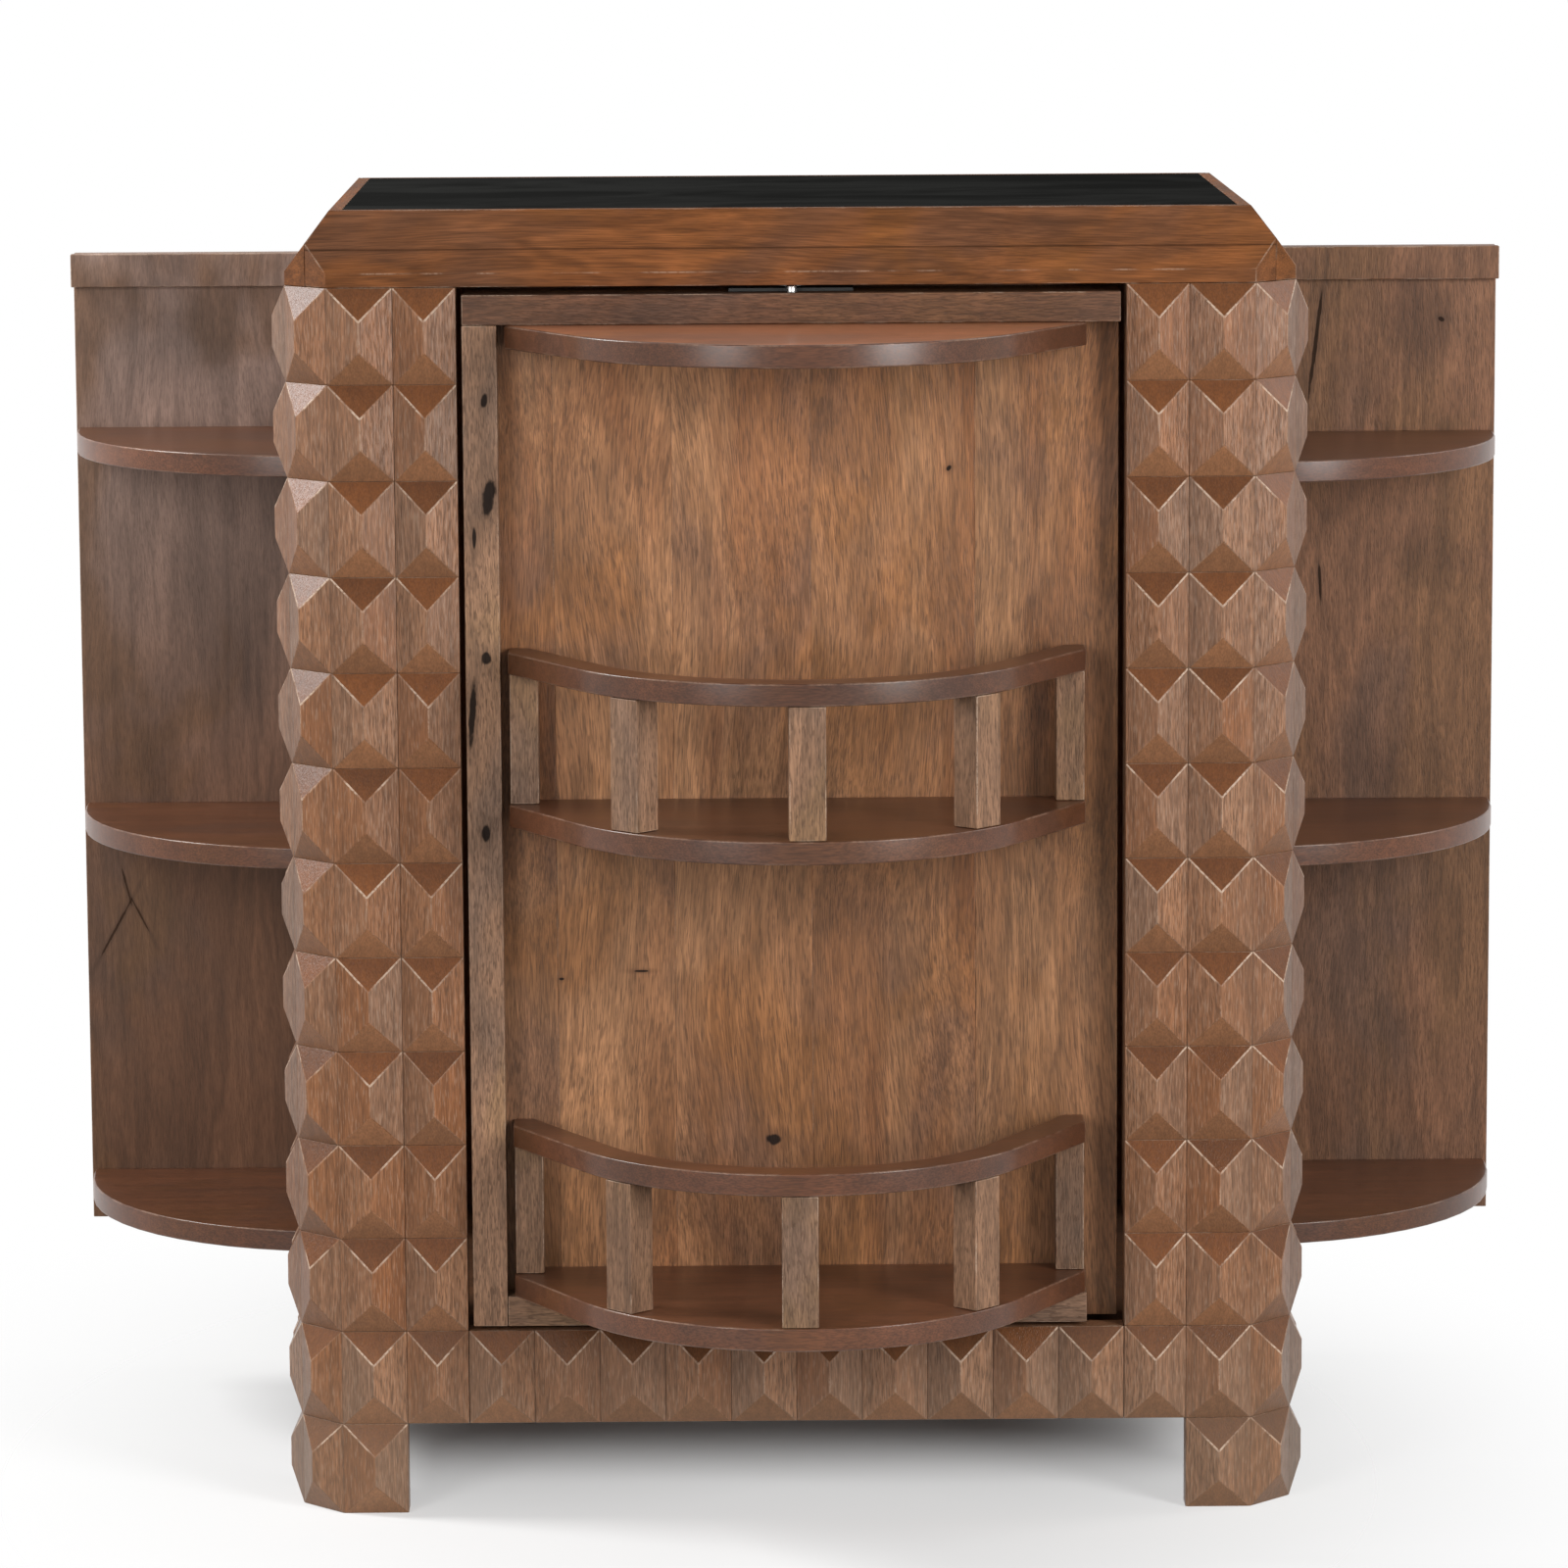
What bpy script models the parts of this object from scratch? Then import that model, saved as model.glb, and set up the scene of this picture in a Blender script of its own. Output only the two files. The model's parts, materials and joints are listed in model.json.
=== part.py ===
"""Carved bar cabinet with a revolving shelf unit and two pivoting side wings.

Metres, +Z up, front towards -Y.  The wings stand open and the shelves of the
revolving unit face the front.  Lengths below are measured from the front
plane of the carcass, at the foot of the carving, unless a comment says more.
"""
import math

import bmesh
import bpy
from mathutils import Matrix

# Clearances
FIT = 0.0003
MERGE = 0.00001
SWING_CLEAR = 0.002

# Carved tiles: columns across the front, rows up the posts
TILE_W = 0.0532
ROW_H = 0.0777
FOOT_H = 0.0751
RELIEF = 0.0125
CHAMFER_LEG = 0.035
STILE_TRIM = 0.0027
POST_COLS = 2
SIDE_COLS = 2
OPENING_COLS = 10
OPENING_ROWS = 11
FRONT_T = 0.022
REAR_T = 0.015

# Top block
TOP_H = 0.0595
FASCIA_H = 0.011
BEVEL_RUN = 0.0364
BORDER_W = 0.010
LEDGE_W = 0.014
INSET_T = 0.005
TOP_BOARD_T = 0.018

# Floor and back of the carcass
FLOOR_T = 0.018
FLOOR_DROP = 0.005
BACK_T = 0.010
BACK_SETBACK = 0.003

# Revolving unit
UNIT_SIDE_GAP = 0.0045
UNIT_TOP_GAP = 0.0065
UNIT_BOTTOM_GAP = 0.0033
UNIT_SETBACK = 0.001
BOARD_T = 0.018
FRAME_T = 0.027
STILE_W = 0.028
UNIT_TOP_RAIL_H = 0.0243
UNIT_BOTTOM_RAIL_H = 0.025
UNIT_BOTTOM_RAIL_SHORT = 0.0262

# Bow-fronted shelves and galleries of the revolving unit
SHELF_T = 0.0185
SHELF_STILE_GAP = 0.0062
SHELF_EDGE_INSET = 0.0277
SHELF_END_DEPTH = 0.028
FLANK_ANGLE = math.radians(60.0)
MIDDLE_SHELF_RISE = 0.3886
GALLERY_H = 0.106
GALLERY_RAIL_H = 0.018
GALLERY_RAIL_W = 0.028
BALUSTER_W = 0.029
BALUSTER_D = 0.024
BALUSTER_INSET = 0.001
END_BALUSTER_W = 0.023
ARC_STEPS = 28
BALUSTER_DEGREES = {
    "middle": {"left": -43.6, "centre": 1.6, "right": 48.0},
    "bottom": {"left": -46.7, "centre": -0.6, "right": 47.5},
}

# Pivots of the revolving unit
PIN_R = 0.0048
PIN_SEAT = 0.030
PIN_REACH = 0.012
PLATE_L = 0.100
PLATE_W = 0.034
PLATE_T = 0.0025
BUSH_R = 0.009
BUSH_FLANGE_R = 0.015
BUSH_FLANGE_T = 0.002
BUSH_DEPTH = 0.014
ROUND_STEPS = 32

# Side wings, measured from their own pivot axis where they stand open
WING_T = 0.016
WING_REACH = 0.258
WING_AXIS_IN = 0.0495
WING_COLS = 6
WING_GAP = 0.003
WING_TOP_GAP = 0.0015
WING_BOTTOM_GAP = 0.0027
WING_STILE_W = 0.040
WING_STILE_FRONT = 0.020
WING_ROD_R = 0.006
WING_RAIL_H = 0.0285
WING_RAIL_T = 0.009
WING_RAIL_OVERHANG = 0.0017
WING_SHELF_T = 0.018
WING_SHELF_DEPTH = 0.264
WING_SHELF_SETBACK = 0.003
WING_SHELF_END = 0.016
WING_SHELF_RISES = {
    "left": {"bottom": 0.0435, "middle": 0.3705, "top": 0.7000},
    "right": {"bottom": 0.0435, "middle": 0.3670, "top": 0.6900},
}

# Carcass sizes that follow from the tiles
HALF_FRONT = TILE_W * (OPENING_COLS / 2 + POST_COLS)
HALF_OPENING = HALF_FRONT - TILE_W * POST_COLS + STILE_TRIM
HALF_WIDTH = HALF_FRONT + CHAMFER_LEG
OPENING_Z = FOOT_H + ROW_H
BODY_TOP = OPENING_Z + ROW_H * OPENING_ROWS
TOP_Z = BODY_TOP + TOP_H
POST_DEPTH = CHAMFER_LEG + TILE_W * SIDE_COLS
LEVELS = [0.0, FOOT_H] + [FOOT_H + ROW_H * (row + 1) for row in range(OPENING_ROWS + 1)]
FLOOR_TOP = OPENING_Z - FLOOR_DROP

# Wing pivot, and the cabinet depth that its swing needs at the back
WING_AXIS_X = HALF_WIDTH - WING_AXIS_IN
WING_AXIS_Y = POST_DEPTH + WING_GAP + WING_REACH
WING_TAIL = WING_AXIS_IN + RELIEF + SWING_CLEAR
WING_SWING_R = math.hypot(WING_AXIS_IN, WING_TAIL) + SWING_CLEAR
REAR_POST_Y = WING_AXIS_Y + WING_TAIL + WING_GAP
DEPTH = WING_AXIS_X + WING_AXIS_Y + math.sqrt(2.0) * (WING_SWING_R + REAR_T) - HALF_FRONT
WING_INNER = WING_AXIS_IN - WING_T
WING_Z = OPENING_Z + WING_BOTTOM_GAP
WING_TOP = BODY_TOP - WING_TOP_GAP

# Revolving unit, measured from its own vertical axis
UNIT_HALF_W = HALF_OPENING - UNIT_SIDE_GAP
UNIT_HALF_T = BOARD_T / 2 + FRAME_T
UNIT_AXIS_Y = UNIT_SETBACK + UNIT_HALF_T
UNIT_Z = OPENING_Z + UNIT_BOTTOM_GAP
UNIT_TOP = BODY_TOP - UNIT_TOP_GAP
BOARD_FACE = -BOARD_T / 2 - FIT
SHELF_LEFT = STILE_W + SHELF_STILE_GAP - UNIT_HALF_W
SHELF_RIGHT = UNIT_HALF_W - SHELF_EDGE_INSET
SHELF_X = (SHELF_LEFT + SHELF_RIGHT) / 2
SHELF_HALF_W = (SHELF_RIGHT - SHELF_LEFT) / 2
BOW_R = SHELF_HALF_W * math.sin(FLANK_ANGLE)
BOW_Y = BOARD_FACE - SHELF_END_DEPTH
BOW_REACH = BOW_R - BOW_Y
RAIL_TOP = UNIT_Z + UNIT_BOTTOM_RAIL_H
CANOPY_TOP = UNIT_TOP - UNIT_TOP_RAIL_H - FIT
BOTTOM_SHELF_TOP = RAIL_TOP + FIT + SHELF_T
MIDDLE_SHELF_TOP = BOTTOM_SHELF_TOP + MIDDLE_SHELF_RISE
BUSH_BOTTOM_FLANGE_T = UNIT_Z - PLATE_T - FIT - FLOOR_TOP

# Top block section
TOP_RAIL_W = BEVEL_RUN + BORDER_W + LEDGE_W
LEDGE_H = TOP_H - INSET_T - TOP_BOARD_T - 2 * FIT

# The origin lies on the floor under the middle of the whole object
FRONT_REACH = BOW_REACH - UNIT_AXIS_Y
ORIGIN_Y = (DEPTH + RELIEF - FRONT_REACH) / 2

COLOURS = {
    "carved_wood": ((0.26, 0.135, 0.075), 0.55, 0.0),
    "panel_wood": ((0.27, 0.145, 0.075), 0.50, 0.0),
    "shelf_wood": ((0.125, 0.060, 0.036), 0.38, 0.0),
    "raw_wood": ((0.25, 0.150, 0.095), 0.65, 0.0),
    "wing_wood": ((0.16, 0.085, 0.052), 0.55, 0.0),
    "black_inset": ((0.006, 0.006, 0.007), 0.12, 0.0),
    "pivot_steel": ((0.62, 0.62, 0.62), 0.25, 1.0),
    "dark_steel": ((0.035, 0.035, 0.038), 0.45, 1.0),
}


def clear_scene():
    """Remove every object that the scene starts with."""
    for thing in list(bpy.data.objects):
        bpy.data.objects.remove(thing, do_unlink=True)


def new_collection(name):
    """Return a new collection under the scene's own."""
    group = bpy.data.collections.new(name)
    bpy.context.scene.collection.children.link(group)
    return group


def make_material(name, colour, roughness, metallic):
    """Return a plain Principled material."""
    finish = bpy.data.materials.new(name)
    finish.use_nodes = True
    shader = finish.node_tree.nodes["Principled BSDF"]
    shader.inputs["Base Color"].default_value = (*colour, 1.0)
    shader.inputs["Roughness"].default_value = roughness
    shader.inputs["Metallic"].default_value = metallic
    return finish


def add_empty(name, place, parent=None):
    """Return an empty that carries the pieces of one body."""
    empty = bpy.data.objects.new(name, None)
    empty.location = place
    empty.parent = parent
    PARTS.objects.link(empty)
    return empty


def add_object(name, data, finish, parent, place=(0.0, 0.0, 0.0)):
    """Link one named piece, with its finish, under the body that carries it."""
    piece = bpy.data.objects.new(name, data)
    piece.location = place
    piece.parent = parent
    data.materials.append(FINISHES[finish])
    PARTS.objects.link(piece)
    return piece


def add_mesh(name, bm, finish, parent, smooth=False):
    """Turn a bmesh into a named piece."""
    mesh = bpy.data.meshes.new(name)
    bm.to_mesh(mesh)
    bm.free()
    if smooth:
        mesh.shade_smooth()
        mesh.set_sharp_from_angle(angle=math.radians(40.0))
    return add_object(name, mesh, finish, parent)


def add_box(name, low, high, finish, parent):
    """Add a square-edged board between two corners."""
    size = [b - a for a, b in zip(low, high)]
    centre = [(a + b) / 2 for a, b in zip(low, high)]
    bm = bmesh.new()
    shape = Matrix.Translation(centre) @ Matrix.Diagonal((*size, 1.0))
    bmesh.ops.create_cube(bm, size=1.0, matrix=shape)
    return add_mesh(name, bm, finish, parent)


def add_plate(name, outlines, low, high, finish, parent):
    """Add a flat board from its outline, with any further outlines as holes."""
    curve = bpy.data.curves.new(name, "CURVE")
    curve.dimensions = "2D"
    curve.fill_mode = "BOTH"
    curve.extrude = (high - low) / 2
    for outline in outlines:
        spline = curve.splines.new("POLY")
        spline.points.add(len(outline) - 1)
        for point, (x, y) in zip(spline.points, outline):
            point.co = (x, y, 0.0, 1.0)
        spline.use_cyclic_u = True
    return add_object(name, curve, finish, parent, (0.0, 0.0, (low + high) / 2))


def round_bm(radius, low, high, x=0.0, y=0.0):
    """Return the bmesh of an upright round bar."""
    bm = bmesh.new()
    place = Matrix.Translation((x, y, (low + high) / 2))
    bmesh.ops.create_cone(
        bm, cap_ends=True, segments=ROUND_STEPS, radius1=radius, radius2=radius,
        depth=high - low, matrix=place)
    return bm


def add_turned(name, profile, finish, parent, place):
    """Turn a closed profile of (radius, height) points about the vertical."""
    bm = bmesh.new()
    ring = [bm.verts.new((radius, 0.0, height)) for radius, height in profile]
    for first, second in zip(ring, ring[1:] + ring[:1]):
        bm.edges.new((first, second))
    piece = add_mesh(name, bm, finish, parent)
    piece.location = place
    turn = piece.modifiers.new("turn", "SCREW")
    turn.steps = ROUND_STEPS
    turn.render_steps = ROUND_STEPS
    turn.use_merge_vertices = True
    turn.merge_threshold = MERGE
    return piece


def bore(piece, radius, low, high, x, y):
    """Drill an upright round hole in a piece, with x and y in its parent's frame."""
    mesh = bpy.data.meshes.new(piece.name + "_drill")
    bm = round_bm(radius, low, high, x, y)
    bm.to_mesh(mesh)
    bm.free()
    drill = bpy.data.objects.new(piece.name + "_drill", mesh)
    drill.parent = piece.parent
    drill.hide_render = True
    drill.display_type = "WIRE"
    CUTTERS.objects.link(drill)
    cut = piece.modifiers.new("bore", "BOOLEAN")
    cut.operation = "DIFFERENCE"
    cut.solver = "EXACT"
    cut.object = drill


def spread(first, last, count):
    """Return count + 1 even steps from first to last."""
    return [first + (last - first) * step / count for step in range(count + 1)]


def raise_tile(bm, face):
    """Raise one cell into a hipped tile with a ridge along its length."""
    width = min(edge.calc_length() for edge in face.edges)
    bmesh.ops.inset_individual(
        bm, faces=[face], thickness=width / 2, depth=RELIEF, use_even_offset=True)


def add_carved(name, plan, inner, levels, finish, parent, missing=(), plain=()):
    """Add a board folded along a plan line, with a raised tile in every cell.

    plan holds the corners of the cells on the carved side and inner the same
    corners on the smooth side.  Cells in missing are left out, and columns in
    plain stay flat.
    """
    bm = bmesh.new()
    column_of = bm.verts.layers.int.new("column")
    grid = []
    for column, (x, y) in enumerate(plan):
        line = [bm.verts.new((x, y, z)) for z in levels]
        for vert in line:
            vert[column_of] = column
        grid.append(line)
    cells = {}
    for column in range(len(plan) - 1):
        for row in range(len(levels) - 1):
            if (column, row) in missing:
                continue
            near, far = grid[column], grid[column + 1]
            corners = (near[row], far[row], far[row + 1], near[row + 1])
            cells[column, row] = bm.faces.new(corners)
    unused = [vert for vert in bm.verts if not vert.link_faces]
    bmesh.ops.delete(bm, geom=unused, context="VERTS")
    grown = bmesh.ops.extrude_face_region(bm, geom=list(cells.values()))
    for vert in grown["geom"]:
        if isinstance(vert, bmesh.types.BMVert):
            vert.co.x, vert.co.y = inner[vert[column_of]]
    bmesh.ops.recalc_face_normals(bm, faces=list(bm.faces))
    for (column, row), face in cells.items():
        if column not in plain:
            raise_tile(bm, face)
    bmesh.ops.remove_doubles(bm, verts=list(bm.verts), dist=MERGE)
    return add_mesh(name, bm, finish, parent)


def chamfer_inset(thickness):
    """Return how far a corner of the plan moves along a wall at this thickness."""
    return thickness * math.tan(math.radians(22.5))


def add_front_post(side, sign):
    """Add the carved leg with its chamfered corner, and the stile beside it."""
    inner_edge = HALF_FRONT - TILE_W + FIT
    sides = spread(CHAMFER_LEG, POST_DEPTH, SIDE_COLS)
    plan = [(inner_edge, 0.0), (HALF_FRONT, 0.0)]
    plan += [(HALF_WIDTH, y) for y in sides]
    turn = chamfer_inset(FRONT_T)
    inner = [(inner_edge, FRONT_T), (HALF_FRONT - turn, FRONT_T)]
    inner += [(HALF_WIDTH - FRONT_T, sides[0] + turn)]
    inner += [(HALF_WIDTH - FRONT_T, y) for y in sides[1:]]
    second_side_columns = range(3, 2 + SIDE_COLS)
    add_carved(
        f"front_{side}_leg", [(sign * x, y) for x, y in plan],
        [(sign * x, y) for x, y in inner], LEVELS[:-1] + [BODY_TOP - FIT], "carved_wood", ROOT,
        missing={(column, 0) for column in second_side_columns})
    edges = spread(HALF_OPENING, HALF_FRONT - TILE_W, POST_COLS - 1)
    add_carved(
        f"front_{side}_stile", [(sign * x, 0.0) for x in edges],
        [(sign * x, FRONT_T) for x in edges], LEVELS[1:-1] + [BODY_TOP - FIT], "carved_wood", ROOT)


def add_rear_post(side, sign):
    """Add the rear leg, whose leading edge is bevelled clear of the wing's swing."""
    turn = chamfer_inset(REAR_T)
    strip = HALF_WIDTH - REAR_T
    swing_edge = WING_AXIS_Y + math.sqrt(WING_SWING_R ** 2 - (WING_AXIS_IN - REAR_T) ** 2)
    backs = spread(HALF_FRONT, HALF_OPENING, POST_COLS)
    plan = [(HALF_WIDTH, REAR_POST_Y), (HALF_WIDTH, DEPTH - CHAMFER_LEG)]
    plan += [(x, DEPTH) for x in backs]
    inner = [(strip, swing_edge), (strip, DEPTH - CHAMFER_LEG - turn)]
    inner += [(backs[0] - turn, DEPTH - REAR_T)]
    inner += [(x, DEPTH - REAR_T) for x in backs[1:]]
    add_carved(
        f"rear_{side}_leg", [(sign * x, y) for x, y in plan],
        [(sign * x, y) for x, y in inner], LEVELS[:-1] + [BODY_TOP - FIT], "carved_wood", ROOT,
        missing={(column, 0) for column in range(3, 2 + POST_COLS)}, plain={0})


def add_bottom_rails():
    """Add the carved rails between the posts, one row of tiles high."""
    row = [FOOT_H, OPENING_Z]
    across = spread(-HALF_OPENING + FIT, HALF_OPENING - FIT, OPENING_COLS)
    add_carved(
        "front_bottom_rail", [(x, 0.0) for x in across], [(x, FRONT_T) for x in across],
        row, "carved_wood", ROOT)
    add_carved(
        "rear_bottom_rail", [(x, DEPTH) for x in across], [(x, DEPTH - REAR_T) for x in across],
        row, "carved_wood", ROOT)
    along = spread(POST_DEPTH + FIT, REAR_POST_Y - FIT, WING_COLS)
    for side, sign in SIDES:
        add_carved(
            f"{side}_bottom_rail", [(sign * HALF_WIDTH, y) for y in along],
            [(sign * (HALF_WIDTH - FRONT_T), y) for y in along], row, "carved_wood", ROOT)


def add_floor_and_back():
    """Add the floor board, drilled for the lower pivots, and the back panel."""
    x = HALF_WIDTH - FRONT_T - FIT
    front = FRONT_T + FIT
    back = DEPTH - REAR_T - FIT
    corner = CHAMFER_LEG
    outline = [
        (x, front + corner), (x, back - corner), (x - corner, back), (corner - x, back),
        (-x, back - corner), (-x, front + corner), (corner - x, front), (x - corner, front)]
    bm = bmesh.new()
    base = bm.faces.new([bm.verts.new((px, py, FLOOR_TOP - FLOOR_T)) for px, py in outline])
    grown = bmesh.ops.extrude_face_region(bm, geom=[base])
    lifted = [item for item in grown["geom"] if isinstance(item, bmesh.types.BMVert)]
    bmesh.ops.translate(bm, verts=lifted, vec=(0.0, 0.0, FLOOR_T))
    bmesh.ops.recalc_face_normals(bm, faces=list(bm.faces))
    floor = add_mesh("floor_board", bm, "panel_wood", ROOT)
    over = FLOOR_TOP + FLOOR_T
    bore(floor, BUSH_R + FIT, FLOOR_TOP - BUSH_DEPTH - FIT, over, 0.0, UNIT_AXIS_Y)
    for side, sign in SIDES:
        bore(
            floor, WING_ROD_R + FIT, FLOOR_TOP - PIN_REACH - FIT, over,
            sign * WING_AXIS_X, WING_AXIS_Y)
    add_box(
        "back_panel",
        (FIT - HALF_OPENING, DEPTH - BACK_SETBACK - BACK_T, OPENING_Z + FIT),
        (HALF_OPENING - FIT, DEPTH - BACK_SETBACK, BODY_TOP - FIT), "panel_wood", ROOT)


def cut_away(bm, point, normal):
    """Cut off all that lies past a plane and close the cut."""
    cut = bmesh.ops.bisect_plane(
        bm, geom=list(bm.verts) + list(bm.edges) + list(bm.faces), dist=MERGE,
        plane_co=point, plane_no=normal, clear_outer=True)
    rim = [item for item in cut["geom_cut"] if isinstance(item, bmesh.types.BMEdge)]
    bmesh.ops.edgenet_fill(bm, edges=rim)


def add_top_rail(name, along, half_length, half_other, place):
    """Add one mitred rail of the top block, with its bevel, ledge and cut corners.

    The rail is drawn with its fascia towards -Y and its length along X, and is
    then turned by the angle along about the vertical and moved to place.
    """
    section = [
        (0.0, 0.0), (0.0, FASCIA_H), (BEVEL_RUN, TOP_H), (BEVEL_RUN + BORDER_W, TOP_H),
        (BEVEL_RUN + BORDER_W, LEDGE_H), (TOP_RAIL_W, LEDGE_H), (TOP_RAIL_W, 0.0)]
    bm = bmesh.new()
    end = bm.faces.new([bm.verts.new((-half_length, y, z)) for y, z in section])
    grown = bmesh.ops.extrude_face_region(bm, geom=[end])
    moved = [item for item in grown["geom"] if isinstance(item, bmesh.types.BMVert)]
    bmesh.ops.translate(bm, verts=moved, vec=(2 * half_length, 0.0, 0.0))
    for sign in (-1.0, 1.0):
        cut_away(bm, (sign * (half_length - FIT), 0.0, 0.0), (sign, 1.0, 0.0))
        cut_away(bm, (sign * (half_length - CHAMFER_LEG), 0.0, 0.0), (sign, -1.0, 0.0))
    bmesh.ops.recalc_face_normals(bm, faces=list(bm.faces))
    spin = Matrix.Translation((*place, BODY_TOP)) @ Matrix.Rotation(along, 4, "Z")
    bmesh.ops.transform(bm, matrix=spin, verts=list(bm.verts))
    return add_mesh(name, bm, "carved_wood", ROOT)


def add_top_block():
    """Add the bevelled top frame, the board on its ledge and the black inset."""
    quarter = math.pi / 2
    middle = DEPTH / 2
    front = add_top_rail("top_front_rail", 0.0, HALF_WIDTH, middle, (0.0, 0.0))
    bore(
        front, BUSH_R + FIT, BODY_TOP - SWING_CLEAR, BODY_TOP + BUSH_DEPTH + FIT,
        0.0, UNIT_AXIS_Y)
    add_top_rail("top_rear_rail", 2 * quarter, HALF_WIDTH, middle, (0.0, DEPTH))
    for side, sign in SIDES:
        rail = add_top_rail(
            f"top_{side}_rail", sign * quarter, middle, HALF_WIDTH, (sign * HALF_WIDTH, middle))
        bore(
            rail, WING_ROD_R + FIT, BODY_TOP - SWING_CLEAR, BODY_TOP + PIN_REACH + FIT,
            sign * WING_AXIS_X, WING_AXIS_Y)
    edge = BEVEL_RUN + BORDER_W + FIT
    board_z = BODY_TOP + LEDGE_H + FIT
    add_box(
        "top_board", (edge - HALF_WIDTH, edge, board_z),
        (HALF_WIDTH - edge, DEPTH - edge, board_z + TOP_BOARD_T), "panel_wood", ROOT)
    add_box(
        "top_inset", (edge - HALF_WIDTH, edge, TOP_Z - INSET_T),
        (HALF_WIDTH - edge, DEPTH - edge, TOP_Z), "black_inset", ROOT)


def bow_line(inset):
    """Return the bowed front line, from right to left, this far inside the shelf edge."""
    flank = math.pi / 2 - FLANK_ANGLE
    radius = BOW_R - inset
    arc = [
        (radius * math.cos(angle), BOW_Y + radius * math.sin(angle))
        for angle in spread(-flank, flank - math.pi, ARC_STEPS)]
    reach = (BOARD_FACE - arc[0][1]) / math.sin(FLANK_ANGLE)
    end_x = arc[0][0] + reach * math.cos(FLANK_ANGLE)
    if end_x <= SHELF_HALF_W:
        ends = [(end_x, BOARD_FACE)]
    else:
        drop = (end_x - SHELF_HALF_W) * math.tan(FLANK_ANGLE)
        ends = [(SHELF_HALF_W, BOARD_FACE), (SHELF_HALF_W, BOARD_FACE - drop)]
    line = ends + arc + [(-x, y) for x, y in reversed(ends)]
    return [(SHELF_X + x, y) for x, y in line]


def add_unit_shelf(name, top):
    """Add one bow-fronted shelf against the board."""
    add_plate(name, [bow_line(0.0)], top - SHELF_T, top, "shelf_wood", UNIT)


def add_gallery(name, shelf_top):
    """Add a curved gallery rail on five balusters above a shelf."""
    low = shelf_top + FIT
    high = shelf_top + GALLERY_H
    band = bow_line(0.0) + list(reversed(bow_line(GALLERY_RAIL_W)))
    add_plate(
        f"{name}_gallery_rail", [band], high + FIT, high + FIT + GALLERY_RAIL_H,
        "shelf_wood", UNIT)
    radius = BOW_R - BALUSTER_INSET - BALUSTER_D / 2
    for place, degrees in BALUSTER_DEGREES[name].items():
        angle = math.radians(degrees)
        centre = (
            SHELF_X + radius * math.sin(angle), BOW_Y - radius * math.cos(angle),
            (low + high) / 2)
        shape = Matrix.Translation(centre) @ Matrix.Rotation(angle, 4, "Z")
        shape = shape @ Matrix.Diagonal((BALUSTER_W, BALUSTER_D, high - low, 1.0))
        bm = bmesh.new()
        bmesh.ops.create_cube(bm, size=1.0, matrix=shape)
        add_mesh(f"{name}_baluster_{place}", bm, "raw_wood", UNIT)
    outer = SHELF_HALF_W - BALUSTER_INSET
    for side, sign in SIDES:
        near, far = sorted((SHELF_X + sign * outer, SHELF_X + sign * (outer - END_BALUSTER_W)))
        add_box(
            f"{name}_baluster_{side}_end", (near, BOW_Y + BALUSTER_INSET, low),
            (far, BOARD_FACE, high), "raw_wood", UNIT)


def add_revolving_unit():
    """Add the board, its front frame and shelves, and the carved face behind it."""
    board = add_box(
        "revolving_board", (-UNIT_HALF_W, -BOARD_T / 2, UNIT_Z),
        (UNIT_HALF_W, BOARD_T / 2, UNIT_TOP), "panel_wood", UNIT)
    over = PIN_REACH
    bore(board, PIN_R + FIT, UNIT_TOP - PIN_SEAT - FIT, UNIT_TOP + over, 0.0, 0.0)
    bore(board, PIN_R + FIT, UNIT_Z - over, UNIT_Z + PIN_SEAT + FIT, 0.0, 0.0)
    columns = spread(-UNIT_HALF_W, UNIT_HALF_W, OPENING_COLS)
    add_carved(
        "revolving_carved_face", [(x, UNIT_HALF_T) for x in columns],
        [(x, -BOARD_FACE) for x in columns], spread(UNIT_Z, UNIT_TOP, OPENING_ROWS),
        "carved_wood", UNIT)
    add_box(
        "revolving_top_rail", (-UNIT_HALF_W, -UNIT_HALF_T, UNIT_TOP - UNIT_TOP_RAIL_H),
        (UNIT_HALF_W, BOARD_FACE, UNIT_TOP), "raw_wood", UNIT)
    stile_edge = STILE_W - UNIT_HALF_W
    add_box(
        "revolving_stile", (-UNIT_HALF_W, -UNIT_HALF_T, UNIT_Z),
        (stile_edge, BOARD_FACE, UNIT_TOP - UNIT_TOP_RAIL_H - FIT), "raw_wood", UNIT)
    add_box(
        "revolving_bottom_rail", (stile_edge + FIT, -UNIT_HALF_T, UNIT_Z),
        (UNIT_HALF_W - UNIT_BOTTOM_RAIL_SHORT, BOARD_FACE, RAIL_TOP), "raw_wood", UNIT)
    add_unit_shelf("canopy_shelf", CANOPY_TOP)
    add_unit_shelf("middle_shelf", MIDDLE_SHELF_TOP)
    add_unit_shelf("bottom_shelf", BOTTOM_SHELF_TOP)
    add_gallery("middle", MIDDLE_SHELF_TOP)
    add_gallery("bottom", BOTTOM_SHELF_TOP)


def ring_outline(radius):
    """Return a round hole's outline."""
    return [
        (radius * math.cos(angle), radius * math.sin(angle))
        for angle in spread(0.0, 2 * math.pi, ROUND_STEPS)[:-1]]


def add_pivot_plate(name, low):
    """Add a drilled steel plate that keeps a pivot pin upright on the unit."""
    x, y = PLATE_L / 2, PLATE_W / 2
    outline = [(-x, -y), (x, -y), (x, y), (-x, y)]
    add_plate(name, [outline, ring_outline(PIN_R + FIT)], low, low + PLATE_T, "dark_steel", UNIT)


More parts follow.
